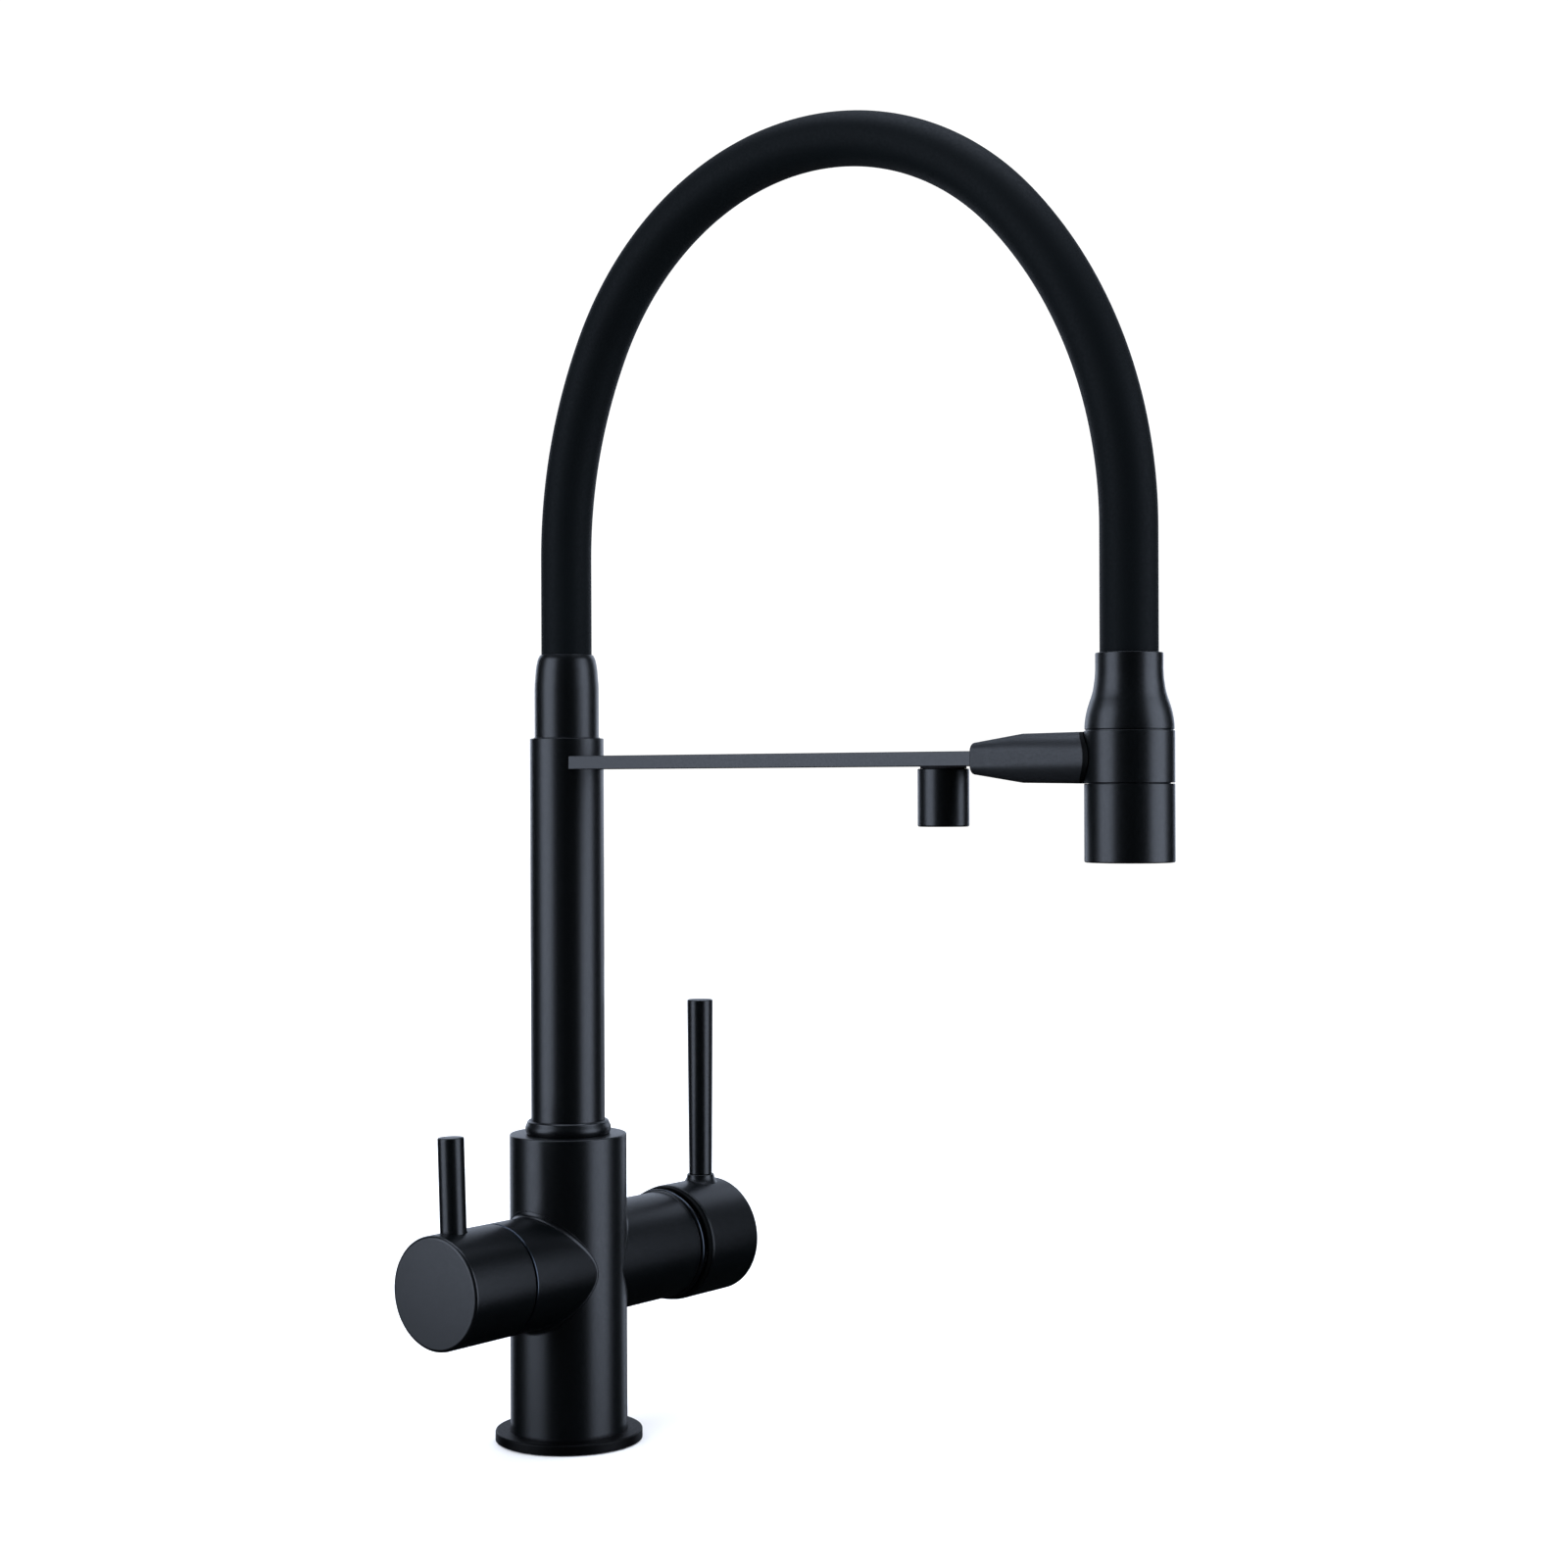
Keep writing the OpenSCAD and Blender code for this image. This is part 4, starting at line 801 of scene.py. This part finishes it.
@dataclass
class HoseArch:
    """The hose from the ferrule over to the head: straight, three bends, straight."""

    cover_r: float = 9.59
    cover_bore: float = 7.0
    liner_r: float = 6.9
    liner_bore: float = 4.4
    low: float = 272.0
    rise_top: float = 335.1
    first_r: float = 176.0
    first_deg: float = 27.0
    last_r: float = 158.0
    last_deg: float = 44.0
    end: float = 272.1

    def bends(self) -> list[tuple[float, float, float]]:
        """Works out the three bends, each tangent to the next.

        Returns:
            For each bend the y and z of its centre and its angle in radians.
        """
        first, last = math.radians(self.first_deg), math.radians(self.last_deg)
        turned = math.pi - last
        crown_r = (
            REACH
            - self.first_r * (1 - math.cos(first))
            - self.last_r * (1 + math.cos(turned))
        ) / (math.cos(first) - math.cos(turned))
        crown = (
            -self.first_r + (self.first_r - crown_r) * math.cos(first),
            self.rise_top + (self.first_r - crown_r) * math.sin(first),
        )
        over = (
            crown[0] + (crown_r - self.last_r) * math.cos(turned),
            crown[1] + (crown_r - self.last_r) * math.sin(turned),
        )
        return [
            (-self.first_r, self.rise_top, first), (crown[0], crown[1], turned - first),
            (over[0], over[1], last),
        ]

    def sweep(self, name: str, outer: float, bore: float, around: int) -> Stock:
        """Sweeps the ring of a tube along the hose's route.

        Args:
            name: the piece's name.
            outer: the tube's outer radius.
            bore: its bore's radius.
            around: how many flats the round has.

        Returns:
            The tube.
        """
        part = bmesh.new()
        for radius in (outer, bore):
            bmesh.ops.create_circle(
                part, radius=radius, segments=around, matrix=Matrix.Translation((0, 0, self.low))
            )
        start = part.edges[:]
        edges = self.run(part, start, self.rise_top - self.low, 12)
        bends = self.bends()
        for y, z, angle in bends:
            steps = max(8, round(math.degrees(angle) / 1.25))
            drawn = edges + list({v for e in edges for v in e.verts})
            spun = bmesh.ops.spin(
                part, geom=drawn, cent=(0, y, z), axis=(1, 0, 0), dvec=(0, 0, 0), angle=angle,
                steps=steps,
            )
            edges = [g for g in spun["geom_last"] if isinstance(g, BMEdge)]
        edges = self.run(part, edges, self.end - bends[-1][1], 12)
        bmesh.ops.bridge_loops(part, edges=start)
        bmesh.ops.bridge_loops(part, edges=edges)
        bmesh.ops.remove_doubles(part, verts=part.verts[:], dist=1e-4)
        bmesh.ops.recalc_face_normals(part, faces=part.faces[:])
        return Stock(name).take(part, Matrix.Identity(4))

    def run(
        self, part: BMesh, edges: list[BMEdge], length: float, steps: int
    ) -> list[BMEdge]:
        """Draws the ring straight up or down.

        Args:
            part: the mesh.
            edges: the ring's edges.
            length: how far up, or down if negative.
            steps: how many rings it takes.

        Returns:
            The last ring's edges.
        """
        for _ in range(steps):
            grown = bmesh.ops.extrude_edge_only(part, edges=edges)["geom"]
            fresh = [g for g in grown if isinstance(g, bmesh.types.BMVert)]
            bmesh.ops.translate(part, vec=(0, 0, length / steps), verts=fresh)
            edges = [
                g
                for g in grown
                if isinstance(g, BMEdge) and all(v in fresh for v in g.verts)
            ]
        return edges

    def build(self) -> None:
        """Makes the cover and the water hose in it, swept once along the rest shape and tied to no
        body.
        """
        for name, outer, bore, around, finish, node in (
            ("silicone_cover", self.cover_r, self.cover_bore, 72, SILICONE, "hose_cover"),
            ("water_hose", self.liner_r, self.liner_bore, 40, ACETAL, "hose_liner"),
        ):
            stock = self.sweep(name, outer, bore, around)
            hose = stock.finish(None, finish, (node,), weighted=False)
            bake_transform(hose)


@dataclass
class ArmAndOutlet:
    """The flat arm and the filtered-water outlet under it."""

    half_w: float = 10.0
    low: float = 255.0
    top: float = 260.0
    end: float = 220.7
    outlet_r: float = 8.85
    outlet_h: float = 19.8
    seat_r: float = 14.03
    tenon_half_w: float = 6.5
    hole_r: float = 3.95

    def arm(self) -> None:
        """Makes the bar, shaped to the column where it meets it, with its tenon."""
        bar = Stock("arm_coated").block(
            (-self.half_w, -self.end, self.low), (self.half_w, -8, self.top), 0.25
        )
        around = Stock("round").rod(Matrix.Identity(4), self.seat_r, 250, 265, 168)
        bar.combine(around, Combine.CUT)
        side = self.tenon_half_w
        tenon = Stock("tenon").block((-side, -16, self.low), (side, -4.4, self.top))
        bar.combine(tenon, Combine.JOIN)
        hole = Stock("neck").rod(Seat.OUTLET.matrix(), self.hole_r, 250, 258.8, 48)
        bar.combine(hole, Combine.CUT)
        bar.finish(Body.SPOUT, POWDER, ("arm_bar",))

    def outlet(self) -> None:
        """Turns the outlet with its recess for the aerator and its threaded neck."""
        top, r = self.low - 0.8, self.outlet_r
        low = top - self.outlet_h
        bore, neck, recess, inner, end = 2.3, 3.9, low + 4.6, r - 1.3, top + 4.55
        profile = [
            (bore, recess), (inner, recess), (inner, low, 0.15), (r, low, 0.6), (r, top, 0.4),
            (neck, top), (neck, end), (bore, end),
        ]
        outlet = Stock("filtered_outlet_coated").turn(profile, Seat.OUTLET.matrix(), steps=120)
        outlet.finish(Body.SPOUT, POWDER, ("filter_outlet",))

    def build(self) -> None:
        """Makes the arm and the outlet."""
        self.arm()
        self.outlet()


@dataclass
class Dock:
    """The moulded sleeve at the arm's end and the rubber pad that the head rests on."""

    start: float = 190.0
    taper: float = 18.0
    mid_z: float = 257.45
    root: tuple[float, float, float] = (22.0, 10.6, 2.9)
    knee: tuple[float, float, float] = (24.5, 16.4, 6.8)
    mouth: tuple[float, float, float] = (25.5, 17.2, 7.9)
    cut_r: float = 16.3
    pad_r: float = 15.1
    pocket_r: float = 5.05
    screw_r: float = 2.25
    screw_y: float = 214.35

    def section(
        self, part: BMesh, y: float, size: tuple[float, float, float]
    ) -> list:
        """Draws one rounded cross-section of the sleeve.

        Args:
            part: the mesh to draw in.
            y: its distance from the column's axis, towards the head.
            size: its width, its height and the radius of its corners.

        Returns:
            The section's edges.
        """
        ring = bmesh.new()
        width, height, corner = size
        square = Matrix.Rotation(math.pi / 4, 4, "Z")
        oblong = Matrix.Diagonal((width / math.sqrt(2), height / math.sqrt(2), 1, 1))
        bmesh.ops.create_circle(ring, radius=1.0, segments=4, matrix=oblong @ square)
        bevel(ring, ring.verts[:], corner, 20, "VERTICES")
        seat = Matrix.Translation((0, -y, self.mid_z)) @ Matrix.Rotation(math.pi / 2, 4, "X")
        bmesh.ops.transform(ring, matrix=seat, verts=ring.verts[:])
        before = set(part.edges)
        pour(ring, part)
        return [e for e in part.edges if e not in before]

    def loft(self, name: str) -> Stock:
        """Lofts the sleeve's outer shape through its sections.

        Args:
            name: the solid's name.

        Returns:
            The solid, with its edge towards the arm rounded.
        """
        part = bmesh.new()
        knee = self.start + self.taper
        stations = ((self.start, self.root), (knee, self.knee), (REACH - 6, self.mouth))
        loops = [self.section(part, y, size) for y, size in stations]
        for first, second in zip(loops, loops[1:]):
            bmesh.ops.bridge_loops(part, edges=first + second)
        for ends in (loops[0], loops[-1]):
            bmesh.ops.edgeloop_fill(part, edges=ends)
        bmesh.ops.remove_doubles(part, verts=part.verts[:], dist=1e-4)
        bmesh.ops.recalc_face_normals(part, faces=part.faces[:])
        rims = [e for e in part.edges if all(abs(v.co.y + self.start) < 1e-3 for v in e.verts)]
        bevel(part, rims, 0.5, 4)
        return Stock(name).take(part, Matrix.Identity(4))

    def sleeve(self) -> None:
        """Cuts the head's seat, the arm's cavity and the magnet's pocket in the sleeve."""
        sleeve = self.loft("dock_sleeve_moulded")
        seat = Stock("seat").rod(Seat.HEAD.matrix(), self.cut_r, 240, 280, 192)
        sleeve.combine(seat, Combine.CUT)
        cavity = Stock("cavity").block((-10.03, -220.75, 254.97), (10.03, -180, 260.03))
        along = Matrix.Translation((0, 0, 257.5)) @ Matrix.Rotation(math.pi / 2, 4, "X")
        pocket = Stock("pocket").rod(along, self.pocket_r, 220.0, 232.0, 64)
        cavity.combine(pocket, Combine.JOIN)
        sleeve.combine(cavity, Combine.CUT)
        below = Matrix.Translation((0, -self.screw_y, 0))
        screw = Stock("screw").rod(below, self.screw_r, 246, 253.5, 40)
        sleeve.combine(screw, Combine.CUT)
        sleeve.finish(Body.SPOUT, NYLON, ("dock_sleeve",))

    def pad(self) -> None:
        """Turns the pad's ring and keeps the part of it in the dock's mouth."""
        low, high = self.mid_z - self.mouth[1] / 2, self.mid_z + self.mouth[1] / 2
        profile = [
            (self.pad_r, low), (self.cut_r - 0.05, low), (self.cut_r - 0.05, high),
            (self.pad_r, high),
        ]
        pad = Stock("dock_pad_moulded").turn(profile, Seat.HEAD.matrix(), steps=192)
        pad.combine(self.loft("mouth"), Combine.KEEP)
        pad.finish(Body.SPOUT, RUBBER, ("dock_pad",))

    def build(self) -> None:
        """Makes the sleeve and its pad."""
        self.sleeve()
        self.pad()


@dataclass
class SprayHead:
    """The head: neck, band, nozzle and spray face, all on the hose's axis."""

    head_r: float = 14.745
    wall_r: float = 13.35
    band_low: float = 249.2
    band_top: float = 266.2
    nozzle_low: float = 223.3
    nozzle_top: float = 248.9
    neck_low: float = 266.5
    neck_top: float = 291.5
    neck_r: float = 11.05

    def neck(self) -> None:
        """Turns the bell-shaped neck that the hose enters."""
        low, r, top = self.neck_low, self.neck_r, self.neck_top
        bore, mouth, floor = 6.08, 9.65, low + 1.8
        profile = [
            (bore, low), (14.6, low, 0.3), (14.55, low + 2.0, 0.8), (14.1, low + 5.2, 1.6),
            (13.15, low + 8.6, 1.8), (12.0, low + 11.6, 1.8), (r + 0.4, low + 14.8, 1.8),
            (r, low + 18.2, 1.8), (r, top, 0.35), (mouth, top, 0.1), (mouth, floor), (bore, floor),
        ]
        neck = Stock("head_neck_coated").turn(profile, Seat.HEAD.matrix())
        neck.finish(Body.HOSE_END, POWDER, ("head_neck",))

    def shells(self) -> None:
        """Turns the band and the nozzle's shell."""
        wall, r, top = self.wall_r, self.head_r, self.band_top
        tongue_r, tongue_top = 14.2, top + 0.25
        band = [
            (wall, self.band_low), (r, self.band_low, 0.25), (r, top, 0.25), (tongue_r, top),
            (tongue_r, tongue_top), (wall, tongue_top),
        ]
        nozzle = [
            (wall, self.nozzle_low, 0.2), (r, self.nozzle_low, 0.5), (r, self.nozzle_top, 0.3),
            (wall, self.nozzle_top),
        ]
        for node, profile in (("head_band", band), ("head_nozzle", nozzle)):
            shell = Stock(node + "_coated").turn(profile, Seat.HEAD.matrix())
            shell.finish(Body.HEAD, POWDER, (node,))

    def build(self) -> None:
        """Makes the neck and the shells."""
        self.neck()
        self.shells()


@dataclass
class MixerLever:
    """The mixer's cap and rod."""

    cap_x: float = 60.0
    length: float = 28.895
    rear_r: float = 22.8
    end_r: float = 22.7
    wall: float = 2.1
    rod_x: float = 80.2
    rod_foot_r: float = 4.65
    rod_top_r: float = 5.2
    rod_top: float = 161.8
    boss_r: float = 6.4
    stem_half_w: float = 3.05
    grub_r: float = 2.5

    def cap(self) -> None:
        """Turns the cap, with the boss and the web that hold it on the stem."""
        start, end = self.cap_x, self.cap_x + self.length
        inner = self.rear_r - self.wall
        profile = [
            (0, end - 4.3), (inner - 0.3, end - 4.3), (inner, start),
            (self.rear_r - 0.1, start, 0.2), (self.rear_r, start + 1.1, 0.15),
            (self.end_r, end, 0.6), (0, end),
        ]
        cap = Stock("mixer_cap_coated").turn(profile, Seat.MIXER_SIDE.matrix(), False, 192)
        side = Seat.MIXER_SIDE.matrix()
        boss = Stock("boss").rod(side, self.boss_r, start + 4, end - 2)
        cap.combine(boss, Combine.JOIN)
        web = Stock("web").block((68, -4, HANDLE_Z - 21), (76, 4, HANDLE_Z - 4))
        cap.combine(web, Combine.JOIN)
        half = self.stem_half_w
        stem = Stock("stem").block(
            (start, -half, HANDLE_Z - half), (start + 16.5, half, HANDLE_Z + half)
        )
        cap.combine(stem, Combine.CUT)
        below = Matrix.Translation((start + 12, 0, 0))
        grub = Stock("grub").rod(below, self.grub_r, 40, HANDLE_Z, 48)
        cap.combine(grub, Combine.CUT)
        cap.finish(Body.MIXER_HANDLE, POWDER, ("mixer_cap",))

    def skirt(self) -> None:
        """Turns the dark skirt behind the cap, which hides the gap to the stub."""
        low, high, r = self.cap_x - 2.2, self.cap_x + 0.1, self.rear_r - 0.4
        profile = [(r - 1, low), (r, low, 0.3), (r, high), (r - 1, high)]
        skirt = Stock("mixer_cap_skirt").turn(profile, Seat.MIXER_SIDE.matrix(), steps=192)
        skirt.finish(Body.MIXER_HANDLE, RUBBER)

    def collar(self) -> None:
        """Turns the flared collar that the rod stands in."""
        top = HANDLE_Z + self.end_r + 2.4
        profile = [
            (0, top - 5), (7.6, top - 4.2), (6.0, top - 2.2, 0.7), (5.5, top - 1.0, 0.5),
            (5.45, top, 0.25), (0, top),
        ]
        seat = Matrix.Translation((self.rod_x, 0, 0))
        collar = Stock("mixer_rod_collar").turn(profile, seat, False, 96)
        collar.finish(Body.MIXER_HANDLE, POWDER)

    def rod(self) -> None:
        """Turns the lever rod, a little wider at its top."""
        foot = (self.rod_foot_r, HANDLE_Z + self.end_r + 2.45, 0.25)
        top = (self.rod_top_r, self.rod_top, 0.5)
        seat = Matrix.Translation((self.rod_x, 0, 0))
        rod = turn_rod("mixer_rod_coated", seat, foot, top)
        rod.finish(Body.MIXER_HANDLE, POWDER, ("mixer_rod",))

    def build(self) -> None:
        """Makes the cap, its skirt, the collar and the rod."""
        self.cap()
        self.skirt()
        self.collar()
        self.rod()


@dataclass
class FilterHandle:
    """The quarter-turn handle of the filtered water, which leans a little when shut."""

    cap_x: float = 40.6
    length: float = 31.7
    radius: float = 21.0
    wall: float = 2.2
    rod_x: float = 61.6
    rod_r: float = 4.85
    rod_top: float = 121.2
    lean_deg: float = 2.0
    edge_r: float = 1.3
    hub_r: float = 7.5
    bore_r: float = 4.05
    well_r: float = 5.1
    grub_r: float = 2.0
    grub_x: float = 53.6

    def lean(self) -> Matrix:
        """The turn about the handle's axis from upright to its place when shut."""
        up = Matrix.Translation((0, 0, HANDLE_Z))
        return up @ Matrix.Rotation(math.radians(-self.lean_deg), 4, "X") @ up.inverted()

    def cap(self) -> None:
        """Turns the cap and bores it for the rod and the grub screw."""
        start, end, r = self.cap_x, self.cap_x + self.length, self.radius
        profile = [
            (0, end - 4), (r - self.wall, end - 4), (r - self.wall, start), (r, start, 0.7),
            (r, end, self.edge_r), (0, end),
        ]
        side = Seat.FILTER_SIDE.matrix()
        cap = Stock("filter_cap_coated").turn(profile, side, False, 192)
        hub = Stock("hub").rod(side, self.hub_r, 46, end - 2)
        cap.combine(hub, Combine.JOIN)
        bore = Stock("bore").rod(side, self.bore_r, 44, 59.1, 64)
        cap.combine(bore, Combine.CUT)
        seat = self.lean() @ Matrix.Translation((-self.rod_x, 0, 0))
        well = Stock("well").rod(seat, self.well_r, HANDLE_Z + r - 0.8, HANDLE_Z + r + 4, 96)
        cap.combine(well, Combine.CUT)
        below = self.lean() @ Matrix.Translation((-self.grub_x, 0, 0))
        grub = Stock("grub").rod(below, self.grub_r, 40, HANDLE_Z - 15, 48)
        cap.combine(grub, Combine.CUT)
        cap.finish(Body.FILTER_HANDLE, POWDER, ("filter_cap",))

    def rod(self) -> None:
        """Turns the short rod."""
        foot = (self.rod_r, HANDLE_Z + self.radius - 0.75, 0.2)
        top = (self.rod_r, self.rod_top, 0.5)
        seat = self.lean() @ Matrix.Translation((-self.rod_x, 0, 0))
        rod = turn_rod("filter_rod_coated", seat, foot, top)
        rod.finish(Body.FILTER_HANDLE, POWDER, ("filter_rod",))

    def build(self) -> None:
        """Makes the cap and the rod."""
        self.cap()
        self.rod()


@dataclass
class Workings:
    """The pieces whose CAD shape is right: they stay, and get their real finish."""

    def build(self) -> None:
        """Gives each CAD node the finish of its slot in the record."""
        finishes = {f.slot: f for f in FINISHES}
        slots = {s["node"]: s["material_slot"] for s in frame["record"]["subparts"]}
        for name, node in frame["nodes"].items():
            finish = finishes[slots[name]]
            for place in node.material_slots:
                place.material = finish.material()
            LOG.info("%s: %s", name, finish.name)


@dataclass
class Studio:
    """The pale floor, the soft light and the camera at the photograph's place."""

    eye: tuple[float, float, float] = (-0.7436, -0.6674, 0.24917)
    azimuth_deg: float = -52.85
    roll_deg: float = -0.2
    lens_mm: float = 59.86

    def facing(self) -> tuple[Vector, Vector]:
        """The level directions ahead of the camera and to its right."""
        turn = math.radians(self.azimuth_deg)
        ahead = Vector((-math.sin(turn), math.cos(turn), 0))
        return ahead, Vector((ahead.y, -ahead.x, 0))

    def camera(self) -> None:
        """Sets the camera level, with the small roll that the photograph has."""
        ahead, right = self.facing()
        roll = math.radians(self.roll_deg)
        up = Vector((0, 0, 1))
        across = right * math.cos(roll) + up * math.sin(roll)
        above = up * math.cos(roll) - right * math.sin(roll)
        data = bpy.data.cameras.new("camera")
        data.lens = self.lens_mm
        data.sensor_width = 36.0
        data.clip_start = 0.01
        data.clip_end = 50.0
        camera = bpy.data.objects.new("camera", data)
        camera.matrix_world = Matrix.Translation(self.eye) @ Matrix(
            (across, above, -ahead)
        ).transposed().to_4x4()
        bpy.context.collection.objects.link(camera)
        bpy.context.scene.camera = camera

    def softbox(
        self, name: str, angle_deg: float, far: float, z: float, size: tuple[float, float],
        power: float,
    ) -> None:
        """Hangs a soft box that faces the tap.

        Args:
            name: the light's name.
            angle_deg: its bearing from the camera's, positive to the right.
            far: its distance from the tap.
            z: its height.
            size: its width and height.
            power: its power in watts.
        """
        ahead, right = self.facing()
        turn = math.radians(angle_deg)
        middle = Vector((0, -0.1, 0.24))
        place = middle + (right * math.sin(turn) - ahead * math.cos(turn)) * far
        place.z = z
        data = bpy.data.lights.new(name, "AREA")
        data.shape = "RECTANGLE"
        data.size, data.size_y = size
        data.energy = power
        data.color = linear("#dde9ff")[:3]
        light = bpy.data.objects.new(name, data)
        light.visible_camera = False
        aim = (middle - place).to_track_quat("-Z", "Y").to_matrix().to_4x4()
        light.matrix_world = Matrix.Translation(place) @ aim
        bpy.context.collection.objects.link(light)

    def lights(self) -> None:
        """Hangs tall soft boxes at the sides, two wide ones behind and one overhead."""
        self.softbox("left_softbox", -66, 1.6, 0.51, (1.25, 1.68), 23)
        self.softbox("right_softbox", 70, 1.6, 0.44, (1.3, 1.82), 25.5)
        self.softbox("back_softbox", 180, 1.7, 1.9, (3.5, 1.2), 5)
        self.softbox("top_softbox", 180, 0.25, 1.9, (1.6, 1.1), 22)
        self.softbox("backdrop_glow", 180, 2.6, 0.85, (4.5, 1.4), 20)
        self.softbox("left_rear_softbox", -150, 1.7, 0.4, (0.7, 1.7), 4)
        self.softbox("right_rear_softbox", 150, 1.7, 0.4, (0.7, 1.7), 4)

    def surroundings(self) -> None:
        """Makes the white surroundings: plain to the eye, dim in reflections."""
        world = bpy.data.worlds.new("studio")
        world.use_nodes = True
        bpy.context.scene.world = world
        tree = world.node_tree
        tree.nodes.clear()
        path = add_node(tree, "ShaderNodeLightPath")
        mix = add_node(tree, "ShaderNodeMixShader")
        tree.links.new(path.outputs["Is Glossy Ray"], mix.inputs[0])
        for place, colour, strength in ((1, "#ffffff", 1.1), (2, "#e6eefa", 0.008)):
            paint = {"Color": linear(colour), "Strength": strength}
            shade = add_node(tree, "ShaderNodeBackground", paint)
            tree.links.new(shade.outputs[0], mix.inputs[place])
        add_node(tree, "ShaderNodeOutputWorld", links={"Surface": mix.outputs[0]})

    def floor(self) -> None:
        """Lays the floor."""
        part = bmesh.new()
        bmesh.ops.create_grid(part, x_segments=1, y_segments=1, size=6.0)
        bmesh.ops.translate(part, vec=(0, 0, -0.0004), verts=part.verts[:])
        mesh = bpy.data.meshes.new("floor")
        part.to_mesh(mesh)
        part.free()
        floor = bpy.data.objects.new("floor", mesh)
        paint = bpy.data.materials.new("white_floor_paint")
        paint.use_nodes = True
        shader = paint.node_tree.nodes["Principled BSDF"]
        shader.inputs["Base Color"].default_value = linear("#f7f7f7")
        shader.inputs["Roughness"].default_value = 0.9
        shader.inputs["Specular IOR Level"].default_value = 0.0
        mesh.materials.append(paint)
        bpy.context.collection.objects.link(floor)
        floor.visible_glossy = False

    def build(self) -> None:
        """Sets up the whole studio."""
        bpy.context.scene.view_settings.view_transform = "Standard"
        self.camera()
        self.lights()
        self.surroundings()
        self.floor()


def main() -> None:
    """Builds the studio and every sub-assembly in order."""
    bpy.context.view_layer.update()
    Studio().build()
    Workings().build()
    BaseAndBody().build()
    Column().build()
    HoseArch().build()
    ArmAndOutlet().build()
    Dock().build()
    SprayHead().build()
    MixerLever().build()
    FilterHandle().build()


if __name__ == "__main__":
    main()
